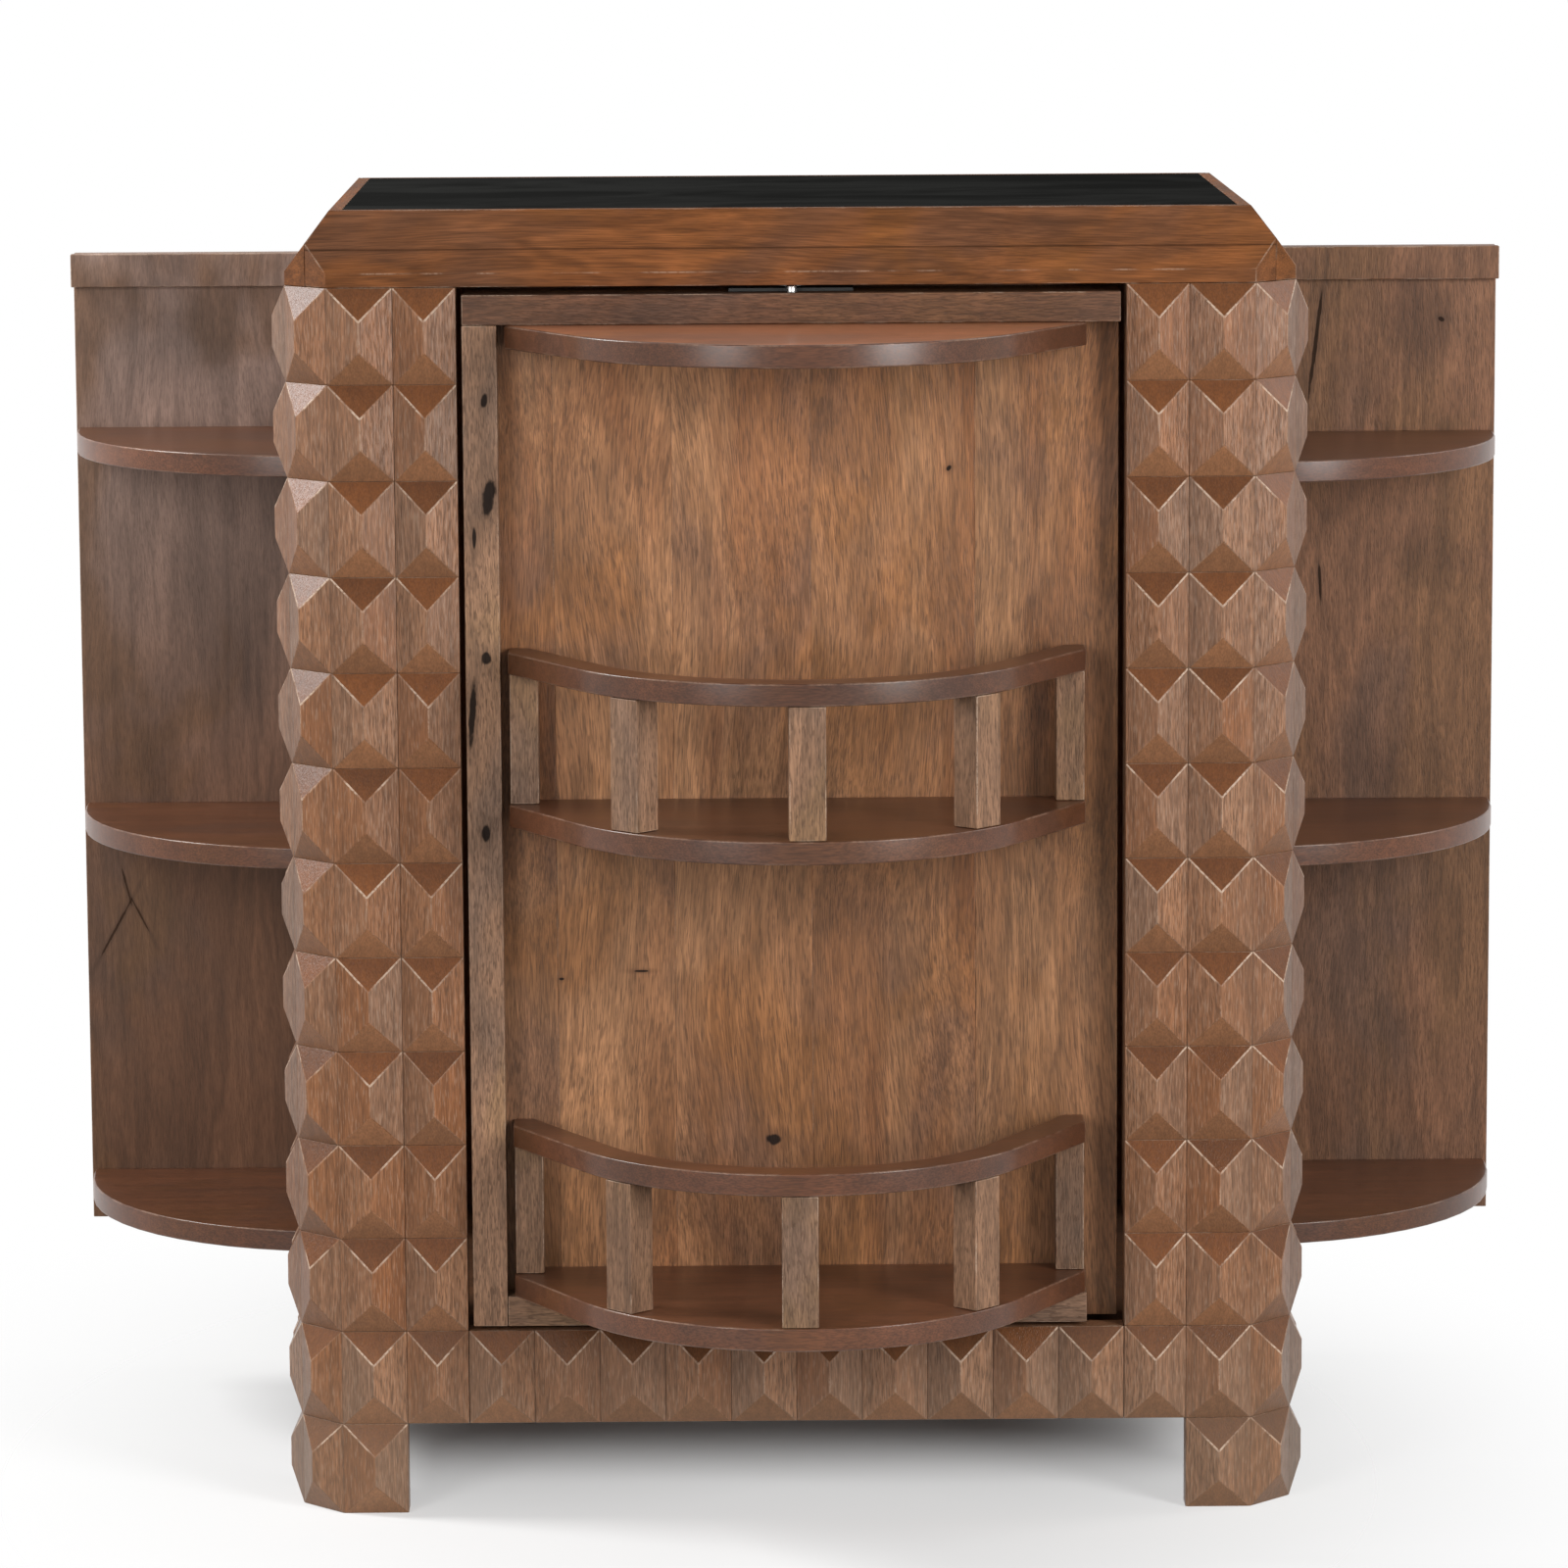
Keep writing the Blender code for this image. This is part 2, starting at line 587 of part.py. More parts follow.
def add_bush(name, flange_t, tip, place):
    """Add a flanged bush whose flange starts at place and whose sleeve ends at tip."""
    bore_r = PIN_R + FIT
    back = flange_t if tip > 0.0 else -flange_t
    profile = [
        (BUSH_FLANGE_R, 0.0), (BUSH_FLANGE_R, back), (BUSH_R, back), (BUSH_R, back + tip),
        (bore_r, back + tip), (bore_r, 0.0)]
    if tip > 0.0:
        profile.reverse()
    add_turned(name, profile, "dark_steel", ROOT, place)


def add_unit_pivots():
    """Add the pins and plates of the revolving unit, and their bushes in the carcass."""
    add_mesh(
        "upper_pivot_pin", round_bm(PIN_R, UNIT_TOP - PIN_SEAT, BODY_TOP + PIN_REACH),
        "pivot_steel", UNIT, smooth=True)
    add_mesh(
        "lower_pivot_pin", round_bm(PIN_R, FLOOR_TOP - PIN_REACH, UNIT_Z + PIN_SEAT),
        "pivot_steel", UNIT, smooth=True)
    add_pivot_plate("upper_pivot_plate", UNIT_TOP + FIT)
    add_pivot_plate("lower_pivot_plate", UNIT_Z - FIT - PLATE_T)
    add_bush(
        "upper_pivot_bush", BUSH_FLANGE_T, BUSH_DEPTH + FIT,
        (0.0, UNIT_AXIS_Y, BODY_TOP - FIT - BUSH_FLANGE_T))
    flange_t = BUSH_BOTTOM_FLANGE_T - 2 * FIT
    add_bush(
        "lower_pivot_bush", flange_t, -BUSH_DEPTH - FIT,
        (0.0, UNIT_AXIS_Y, FLOOR_TOP + FIT + flange_t))


def wing_shelf_outline(sign):
    """Return a wing shelf's outline: a short straight end and a quarter oval."""
    near = WING_STILE_W / 2 + FIT
    far = WING_REACH - WING_SHELF_SETBACK
    back = WING_INNER - FIT
    oval_x = far - near
    oval_y = WING_SHELF_DEPTH - WING_SHELF_END
    line = [
        (near + oval_x * math.cos(angle), back - WING_SHELF_END - oval_y * math.sin(angle))
        for angle in spread(0.0, math.pi / 2, ARC_STEPS // 2)]
    outline = [(near, back), (far, back)] + line
    return [(sign * x, y) for x, y in outline]


def add_wing(side, sign):
    """Add one wing, open, about its own pivot axis."""
    body = add_empty(
        f"{side}_wing_axis", (sign * WING_AXIS_X, WING_AXIS_Y, 0.0), ROOT)
    columns = spread(-WING_TAIL, WING_REACH, WING_COLS)
    add_carved(
        f"{side}_wing_panel", [(sign * x, WING_AXIS_IN) for x in columns],
        [(sign * x, WING_INNER) for x in columns], spread(WING_Z, WING_TOP, OPENING_ROWS),
        "wing_wood", body)
    half = WING_STILE_W / 2
    back = WING_INNER - FIT
    outline = [(-half, -WING_STILE_FRONT), (half, -WING_STILE_FRONT), (half, back), (-half, back)]
    add_plate(
        f"{side}_wing_pivot_stile", [outline, ring_outline(WING_ROD_R + FIT)],
        WING_Z, WING_TOP, "wing_wood", body)
    rod = round_bm(WING_ROD_R, FLOOR_TOP - PIN_REACH, BODY_TOP + PIN_REACH)
    add_mesh(f"{side}_wing_pivot_rod", rod, "pivot_steel", body, smooth=True)
    near, far = sorted((sign * (half + FIT), sign * (WING_REACH + WING_RAIL_OVERHANG)))
    add_box(
        f"{side}_wing_top_rail", (near, back - WING_RAIL_T, WING_TOP - WING_RAIL_H),
        (far, back, WING_TOP), "wing_wood", body)
    for level, rise in WING_SHELF_RISES[side].items():
        top = WING_Z + rise
        add_plate(
            f"{side}_wing_{level}_shelf", [wing_shelf_outline(sign)], top - WING_SHELF_T, top,
            "shelf_wood", body)


SIDES = (("left", -1.0), ("right", 1.0))

clear_scene()
PARTS = new_collection("bar_cabinet")
CUTTERS = new_collection("bar_cabinet_cutters")
FINISHES = {name: make_material(name, *look) for name, look in COLOURS.items()}
ROOT = add_empty("carcass_frame", (0.0, -ORIGIN_Y, 0.0))
UNIT = add_empty("revolving_axis", (0.0, UNIT_AXIS_Y, 0.0), ROOT)

for post_side, post_sign in SIDES:
    add_front_post(post_side, post_sign)
    add_rear_post(post_side, post_sign)
add_bottom_rails()
add_floor_and_back()
add_top_block()
add_revolving_unit()
add_unit_pivots()
for wing_side, wing_sign in SIDES:
    add_wing(wing_side, wing_sign)
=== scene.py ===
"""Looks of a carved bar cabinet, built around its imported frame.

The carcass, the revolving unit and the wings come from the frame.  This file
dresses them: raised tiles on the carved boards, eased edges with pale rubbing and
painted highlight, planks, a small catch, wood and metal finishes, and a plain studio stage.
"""
import json
import math
import random

import bmesh
import bpy
from bpy.props import FloatProperty, FloatVectorProperty, IntProperty, PointerProperty
from bpy.types import NodeSocket, Operator, Panel, PropertyGroup
from mathutils import Matrix, Vector


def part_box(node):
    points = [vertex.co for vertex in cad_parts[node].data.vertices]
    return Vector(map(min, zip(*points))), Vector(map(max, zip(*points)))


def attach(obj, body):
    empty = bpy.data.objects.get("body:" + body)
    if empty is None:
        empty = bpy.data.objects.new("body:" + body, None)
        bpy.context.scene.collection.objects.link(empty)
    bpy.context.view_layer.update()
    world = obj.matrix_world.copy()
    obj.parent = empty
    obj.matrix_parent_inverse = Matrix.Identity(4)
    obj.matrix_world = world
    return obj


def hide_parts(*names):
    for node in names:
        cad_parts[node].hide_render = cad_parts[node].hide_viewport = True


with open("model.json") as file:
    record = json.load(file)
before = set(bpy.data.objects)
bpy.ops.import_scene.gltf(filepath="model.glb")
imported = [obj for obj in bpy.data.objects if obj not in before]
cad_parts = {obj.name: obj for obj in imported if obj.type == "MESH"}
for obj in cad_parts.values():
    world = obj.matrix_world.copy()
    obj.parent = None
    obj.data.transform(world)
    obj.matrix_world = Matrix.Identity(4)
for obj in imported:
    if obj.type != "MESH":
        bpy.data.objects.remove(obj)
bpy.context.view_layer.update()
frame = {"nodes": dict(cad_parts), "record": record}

bl_info = {
    "name": "Bar cabinet looks",
    "version": (1, 0, 0),
    "blender": (4, 5, 0),
    "location": "3D View > Sidebar > Cabinet",
    "description": "Dresses the frame of a carved bar cabinet with wood, metal and a stage",
    "category": "Object",
}

SIDES = (("left", -1.0), ("right", 1.0))

# Lengths in metres and angles in radians
MERGE = 0.00001
FLAT = math.radians(0.4)
SHARP = math.radians(25.0)
RIM_SHARP = math.radians(40.0)
CORE_SHARP = math.radians(60.0)
CORE_EASE = 0.0006
RIM_EASE = 0.0003
INSET_EASE = 0.0005
LINING = 0.004
FLOOR_HALF = 30.0

# Shares: set-back of a mitred chamfer, a level face's normal, plank easing, glue line of the top
CORNER = math.tan(math.radians(22.5))
LEVEL = 0.99
PLANK_SHARE = 0.8
GLUE_LINE = 0.49

# Tiles of the carved boards; the cell below the bottom rail is left out of each leg
LEG_ROWS, PANEL_ROWS = 12, 11
SIDE_COLUMNS, FRONT_COLUMNS = 6, 10
FOOT_GAP = {(3, 0)}
TILE_HEIGHTS = (0.955, 0.998)
SEEDS = 1000

# Span of roughness in the grain, tones, and the planks' joints and tones from left to right
ROUGH_SPAN = 0.10
CORE_TONE = 0.35
CANOPY_TOP = 8.6
PALE_POSTS, DARK_POSTS = (0.7, 1.0), (0.0, 0.3)
PLANK_JOINTS = (-0.193, -0.097, 0.015, 0.148)
PLANK_TONES = (0.24, 0.74, 0.66, 0.40, 0.14)

# Marks in the wood: x, z, one over half the width, one over half the height, lean or strength
PLANK_KNOTS = (
    (-0.017, 0.305, 150.0, 190.0, 0.0), (0.127, 0.857, 420.0, 380.0, 0.3),
    (-0.190, 0.440, 400.0, 700.0, 0.0), (-0.125, 0.446, 160.0, 900.0, 0.0))
PLANK_CLOUDS = (
    (-0.173, 0.813, 70.0, 32.0, 0.26), (0.200, 0.640, 80.0, 20.0, 0.16),
    (0.0, 0.400, 1.0, 6.0, 0.23))
STILE_KNOTS = (
    (-0.2465, 0.917, 320.0, 150.0, 0.1), (-0.2440, 0.838, 170.0, 55.0, 0.15),
    (-0.2475, 0.708, 230.0, 160.0, 0.0), (-0.2490, 0.565, 240.0, 130.0, 0.0),
    (-0.2590, 0.665, 320.0, 34.0, 0.05), (-0.2560, 0.805, 600.0, 90.0, 0.0))
LEFT_KNOTS = (
    (-0.581, 0.452, 900.0, 52.0, -0.25), (-0.592, 0.412, 700.0, 34.0, 0.55),
    (-0.569, 0.425, 900.0, 60.0, -0.50))
LEFT_CLOUDS = (
    (-0.545, 0.928, 75.0, 55.0, 0.25), (-0.505, 0.936, 80.0, 60.0, 0.30),
    (-0.486, 0.690, 45.0, 24.0, 0.34), (-0.560, 0.600, 70.0, 40.0, 0.18))
RIGHT_KNOTS = (
    (0.569, 0.942, 330.0, 380.0, -0.4), (0.460, 0.924, 520.0, 17.0, 0.12),
    (0.465, 0.712, 640.0, 50.0, -0.05))
# The last cloud of the right wing, low down, is painted shade
RIGHT_CLOUDS = (
    (0.552, 0.940, 80.0, 52.0, 0.42), (0.562, 0.732, 60.0, 75.0, 0.30),
    (0.500, 0.560, 60.0, 30.0, 0.20), (0.530, 0.330, 8.0, 9.0, 0.16))
KNOT_BLACK = (0.006, 0.003, 0.002)

# Settings of board_wood for the unit's frame, the shelves and the top block
FRAME_LOOK = {"rough": 0.50, "pores": 0.7, "bump": 0.5}
SHELF_LOOK = {
    "rough": 0.30, "pores": 0.10, "bump": 0.12, "wear_and_highlight_amount": 0.42, "sheen": 0.41, "rings": 0.09,
    "wander": 0.03}
TOP_LOOK = {
    "rough": 0.68, "pores": 0.3, "bump": 0.4, "wear_and_highlight_amount": 0.26, "sheen": 0.15, "rings": 0.28,
    "crisp": 0.8, "short": 45.0, "depth": 0.35}

# Catch on the unit's top rail: radius and height from the foot up, and its place on the rail
CATCH = (
    (0.0046, 0.0), (0.0046, 0.0007), (0.0040, 0.0011), (0.0039, 0.0044), (0.0042, 0.0047),
    (0.0041, 0.0053), (0.0032, 0.0058))
CATCH_X, CATCH_INSET = 0.0004, 0.010

# Camera fitted to the photograph; the focal length is in pixels of its frame
PITCH, YAW, ROLL = 0.150014, 0.0093683, 0.0054796
FOCAL, FRAME_WIDTH, SENSOR = 6716.68, 1600.0, 36.0
EYE_X, EYE_AHEAD, EYE_Z = -0.057142, 5.266188, 1.399972


def length(name, text, value):
    """Return a length property."""
    return FloatProperty(
        name=name, description=text, default=value, min=0.0, precision=5, unit="LENGTH")


def colour(name, text, value):
    """Return a colour property."""
    return FloatVectorProperty(
        name=name, description=text, default=value, size=3, min=0.0, max=1.0, subtype="COLOR")


def power(name, text, value):
    """Return a light power property."""
    return FloatProperty(name=name, description=text, default=value, unit="POWER")


class CarvingSizes(PropertyGroup):
    """Sizes of the carved tile work."""

    tile_width: length("Tile width", "Width of one tile on the front", 0.0532)
    row_height: length("Row height", "Height of one row of tiles", 0.0777)
    foot_height: length("Foot height", "Height of the row of tiles on the feet", 0.0751)
    relief: length("Relief", "Height of a tile's ridge over its edges", 0.0125)
    chamfer: length("Corner chamfer", "Leg of the chamfer on the posts", 0.035)
    front_wall: length("Front wall", "Thickness of the front boards", 0.022)
    rear_wall: length("Rear wall", "Thickness of the rear boards", 0.015)
    rear_bevel: length("Rear bevel", "Set-back of the rear legs' inner front edge", 0.0085)
    skirt: length("Skirt", "Depth of the joint between two tiles", 0.0010)
    gap: length("Joint", "Width of the joint between two tiles", 0.00016)
    ease: length("Tile ease", "Rounding of the hips and the ridge", 0.0009)
    lap: length("Lap", "How far legs and stiles close the fitting gap between them", 0.00015)
    seed: IntProperty(
        name="Seed", description="Seed of the tone of each tile", default=11, min=0)


class EdgeSizes(PropertyGroup):
    """Rounding of the plain boards' edges."""

    shelf: length("Shelf edge", "Rounding of shelf and gallery edges", 0.0013)
    frame: length("Frame edge", "Rounding of rails, stiles and balusters", 0.0009)
    top: length("Top edge", "Rounding of the top block", 0.0014)
    plank: length("Plank edge", "Rounding of plank and panel edges", 0.0006)


class WoodColours(PropertyGroup):
    """Colours of the finishes."""

    warm: colour("Warm brown", "Warm tiles", (0.224, 0.088, 0.034))
    mid: colour("Mid brown", "Common tone of the carved tiles", (0.246, 0.106, 0.047))
    tan: colour("Tan", "Light tiles", (0.318, 0.158, 0.083))
    grey: colour("Grey brown", "Weathered tiles", (0.226, 0.122, 0.072))
    # Ends that face up are painted darker than ends that face down: painted shade
    shaded_end_up: colour("Upper end facet", "Tile ends that face up", (0.184, 0.062, 0.017))
    end_down: colour("Lower end facet", "Tile ends that face down", (0.242, 0.106, 0.046))
    top: colour("Top block", "Rails of the top block", (0.138, 0.0480, 0.0145))
    # Pale edge colour: rubbing and painted highlight on eased edges; also the pale flecks in the
    # grain
    worn: colour("Worn edge", "Rubbed edges of the carving", (0.600, 0.445, 0.330))
    dust: colour("Dust", "Dust on the feet", (0.205, 0.165, 0.120))
    pore: colour("Pores", "Open pores in the grain", (0.070, 0.033, 0.017))
    plank: colour("Plank", "Planks of the revolving board", (0.258, 0.105, 0.0425))
    plank_pale: colour("Pale plank", "Pale figure in the planks", (0.375, 0.186, 0.0890))
    shelf: colour("Shelf", "Satin shelves and gallery rails", (0.090, 0.033, 0.0150))
    # Pale line on the shelves' eased edges: rubbing and painted highlight
    shelf_wear_and_highlight: colour("Worn shelf", "Rubbed edges of the shelves", (0.30, 0.185, 0.125))
    raw: colour("Frame", "Rails, stiles and balusters of the unit", (0.212, 0.116, 0.067))
    wing: colour("Wing", "Inner face of the wings", (0.162, 0.077, 0.041))
    # Painted greyish sheen on the upper part of the left wing
    wing_upper_sheen: colour("Greyed wing", "Upper part of the left wing", (0.405, 0.285, 0.235))
    rail: colour("Unit top rail", "Top rail of the revolving unit", (0.113, 0.051, 0.0265))
    inset: colour("Inset", "Black inset of the top", (0.022, 0.022, 0.021))
    steel: colour("Steel", "Pivot pins and rods", (0.600, 0.590, 0.570))
    dark_steel: colour("Dark steel", "Plates and bushes", (0.060, 0.058, 0.056))


class StageLooks(PropertyGroup):
    """Floor and light of the studio."""

    floor: colour("Floor", "Pale studio floor", (0.860, 0.860, 0.860))
    key: power("Side lights", "Power of the two side lights", 109.0)
    rim: power("Rim lights", "Power of the two lights behind", 70.0)
    fill: power("Front light", "Power of the front light", 8.0)
    ambient: FloatProperty(
        name="Ambient", description="Strength of the light from all round", default=0.17, min=0.0)


def settings():
    """Return the four groups of settings."""
    scene = bpy.context.scene
    return scene.cabinet_carving, scene.cabinet_edges, scene.cabinet_woods, scene.cabinet_stage


def scaled(tint, share):
    """Return a colour times a number."""
    return tuple(share * c for c in tint)


def marks(rows, depth=0.0):
    """Return marks in the wood as (centre, size, value)."""
    return [((x, depth, z), (wide, 0.0, tall), value) for x, z, wide, tall, value in rows]


# Nodes

class Nodes:
    """Short ways to add nodes to one tree."""

    def __init__(self, tree):
        self.tree = tree

    def feed(self, node, inputs):
        """Set or link a node's inputs."""
        for key, value in inputs.items():
            socket = node.inputs[key]
            if isinstance(value, NodeSocket):
                self.tree.links.new(value, socket)
            elif socket.type == "RGBA":
                socket.default_value = (*value[:3], 1.0)
            else:
                socket.default_value = value

    def socket(self, label, way, kind):
        """Add a socket to a group's interface."""
        return self.tree.interface.new_socket(
            label, in_out=way, socket_type="NodeSocket" + kind)

    def put(self, kind, inputs=None, **options):
        """Add a node, set its options, and set or link its inputs."""
        made = self.tree.nodes.new(kind)
        for key, value in options.items():
            setattr(made, key, value)
        self.feed(made, inputs or {})
        return made

    def calc(self, operation, first, second=0.0, third=0.0):
        """Return the output of a Math node."""
        inputs = {0: first, 1: second, 2: third}
        return self.put("ShaderNodeMath", inputs, operation=operation).outputs[0]

    def times(self, first, second):
        """Return a product."""
        return self.calc("MULTIPLY", first, second)

    def line(self, value, slope, start):
        """Return value * slope + start."""
        return self.calc("MULTIPLY_ADD", value, slope, start)

    def vector(self, operation, first, second=(0.0, 0.0, 0.0), out="Vector"):
        """Return an output of a Vector Math node."""
        inputs = {0: first, 1: second}
        return self.put("ShaderNodeVectorMath", inputs, operation=operation).outputs[out]

    def split(self, vector):
        """Return the three parts of a vector."""
        return self.put("ShaderNodeSeparateXYZ", {0: vector}).outputs

    def combine(self, *parts):
        """Return the vector of three parts."""
        return self.put("ShaderNodeCombineXYZ", dict(enumerate(parts))).outputs[0]

    def place(self):
        """Return Object coordinates."""
        return self.put("ShaderNodeTexCoord").outputs["Object"]

    def read(self, name):
        """Return a stored attribute's value."""
        return self.put("ShaderNodeAttribute", attribute_name=name).outputs["Fac"]

    def noise(self, vector, sizes, detail=2.0, rough=0.5, distortion=0.0, out="Fac"):
        """Return a noise texture of a vector that is multiplied by sizes first."""
        if isinstance(sizes, float):
            sizes = (sizes, sizes, sizes)
        return self.put("ShaderNodeTexNoise", {
            "Vector": self.vector("MULTIPLY", vector, sizes), "Scale": 1.0, "Detail": detail,
            "Roughness": rough, "Distortion": distortion}).outputs[out]

    def between(self, value, low, high, first=0.0, last=1.0):
        """Return a value mapped smoothly from one range to another."""
        return self.put(
            "ShaderNodeMapRange", {0: value, 1: low, 2: high, 3: first, 4: last},
            interpolation_type="SMOOTHSTEP").outputs[0]

    def blend(self, factor, first, second, mode="MIX"):
        """Return a mix of two colours."""
        return self.put(
            "ShaderNodeMix", {0: factor, 6: first, 7: second}, data_type="RGBA",
            blend_type=mode).outputs[2]

    def shade(self, tint, value):
        """Return a colour multiplied by one number."""
        return self.blend(1.0, tint, self.combine(value, value, value), "MULTIPLY")

    def ramp(self, factor, stops):
        """Return a colour ramp's colour; stops are (place, colour) pairs."""
        made = self.put("ShaderNodeValToRGB", {0: factor})
        row = made.color_ramp.elements
        while len(row) < len(stops):
            row.new(0.5)
        for element, (place, tint) in zip(row, stops):
            element.position = place
            element.color = (*tint[:3], 1.0)
        return made.outputs[0]

    def bump(self, height, strength, distance):
        """Return the normal of a bump."""
        return self.put("ShaderNodeBump", {
            "Height": height, "Strength": strength, "Distance": distance}).outputs["Normal"]

    def group(self, name, maker, inputs):
        """Place a shared group and return its outputs."""
        return self.put("ShaderNodeGroup", inputs, node_tree=shared(name, maker)).outputs


def shared(name, maker):
    """Return a node group, made on first use."""
    return bpy.data.node_groups.get(name) or maker(name)


def start_group(name, inputs):
    """Return a new shader group's nodes and inputs; a number is a float, the rest are vectors."""
    n = Nodes(bpy.data.node_groups.new(name, "ShaderNodeTree"))
    for label, value in inputs.items():
        socket = n.socket(label, "INPUT", "Float" if isinstance(value, float) else "Vector")
        if value is not None:
            socket.default_value = value
    return n, n.put("NodeGroupInput").outputs


def close_group(n, outputs):
    """Add a shader group's outputs and return its tree."""
    for label in outputs:
        n.socket(label, "OUTPUT", "Float")
    n.put("NodeGroupOutput", outputs)
    return n.tree


def make_grain(name):
    """Make the grain group: fibres along Z that wander, pores, broad figure and a height."""
    n, entry = start_group(name, {"Vector": None, "Wander": 0.02, "Pores": 1.0, "Short": 130.0})
    vector = entry["Vector"]
    drift = n.noise(vector, (5.5, 5.5, 2.2), 1.0, out="Color")
    drift = n.vector("SUBTRACT", drift, (0.5, 0.5, 0.5))
    drift = n.vector("MULTIPLY", drift, (1.0, 1.0, 0.0))
    drift = n.put(
        "ShaderNodeVectorMath", {0: drift, "Scale": entry["Wander"]}, operation="SCALE").outputs[0]
    place = n.vector("ADD", vector, drift)
    streak = n.noise(place, (190.0, 190.0, 9.0), 3.0, 0.6)
    fine_size, dash_size = [
        n.combine(wide, wide, n.times(entry["Short"], share))
        for wide, share in ((900.0, 0.6), (820.0, 1.0))]
    fine = n.noise(place, fine_size, 2.0, 0.6)
    dash = n.noise(place, dash_size, 1.0)
    pore = n.times(n.between(dash, 0.54, 0.66), entry["Pores"])
    figure = n.noise(place, (11.0, 11.0, 1.7), 3.0, 0.55, 0.7)
    ring = n.calc("SINE", n.line(figure, 64.0, n.times(streak, 5.0)))
    height = n.line(streak, 0.3, n.times(fine, 0.45))
    return close_group(n, {
        "Streak": streak, "Fine": fine, "Pore": pore, "Fleck": n.between(dash, 0.44, 0.32),
        "Figure": figure, "Ring": n.line(ring, 0.5, 0.5), "Height": n.line(pore, -0.8, height)})


def make_edge_wear_and_highlight(name):
    """Make the edge group: a broken mask along marked edges, for pale rubbing and painted
    highlight.
    """
    n, entry = start_group(name, {"Vector": None, "Edge": 0.0, "Amount": 1.0})
    patch = n.between(n.noise(entry["Vector"], 34.0), 0.42, 0.60, 0.04, 1.0)
    nick = n.between(n.noise(entry["Vector"], 420.0), 0.34, 0.56, 0.30, 1.0)
    mask = n.times(n.times(patch, nick), entry["Edge"])
    return close_group(n, {"Mask": n.times(mask, entry["Amount"])})


def make_knot(name):
    """Make the knot group: a dark oval core and a soft ring round it."""
    n, entry = start_group(
        name, {"Vector": None, "Centre": None, "Size": (100.0, 0.0, 60.0), "Lean": 0.0})
    x, y, z = n.split(n.vector("SUBTRACT", entry["Vector"], entry["Centre"]))
    away = n.combine(n.calc("SUBTRACT", x, n.times(z, entry["Lean"])), y, z)
    reach = n.vector("LENGTH", n.vector("MULTIPLY", away, entry["Size"]), out="Value")
    rough = n.noise(entry["Vector"], (160.0, 160.0, 90.0), 3.0)
    reach = n.calc("ADD", reach, n.line(rough, 0.9, -0.45))
    return close_group(
        n, {"Core": n.between(reach, 1.05, 0.66), "Halo": n.between(reach, 3.2, 0.8)})


# Finishes

def start_material(name):
    """Return a new material, its nodes and its shader."""
    made = bpy.data.materials.new(name)
    made.use_nodes = True
    return made, Nodes(made.node_tree), made.node_tree.nodes["Principled BSDF"]


def turned_vector(n, along, tone):
    """Return Object coordinates with the grain turned to Z and shifted by tone, and as they are."""
    place = n.place()
    parts = n.split(place)
    order = {"X": (2, 1, 0), "Y": (0, 2, 1), "Z": (0, 1, 2)}[along]
    moved = [
        n.calc("ADD", parts[axis], n.times(tone, step))
        for axis, step in zip(order, (3.1, 1.7, 5.3))]
    return n.combine(*moved), place


def finish_wood(n, shader, base, place, grain, wear_and_highlight_amount, worn, rough, bump, sheen, dull=()):
    """Paint a wood's marked edges pale, as rubbing and painted highlight, and set its shader; dull
    masks make it rougher.
    """
    edge = n.group("edge_wear_and_highlight", make_edge_wear_and_highlight, {
        "Vector": place, "Edge": n.read("worn"), "Amount": wear_and_highlight_amount})
    value = n.line(grain["Fine"], ROUGH_SPAN, rough - ROUGH_SPAN / 2)
    value = n.line(grain["Pore"], 0.12, value)
    for mask in dull:
        value = n.line(mask, 0.45, value)
    n.feed(shader, {
        "Base Color": n.blend(edge["Mask"], base, worn), "Roughness": value,
        "Specular IOR Level": sheen, "Normal": n.bump(grain["Height"], bump, 0.0006)})


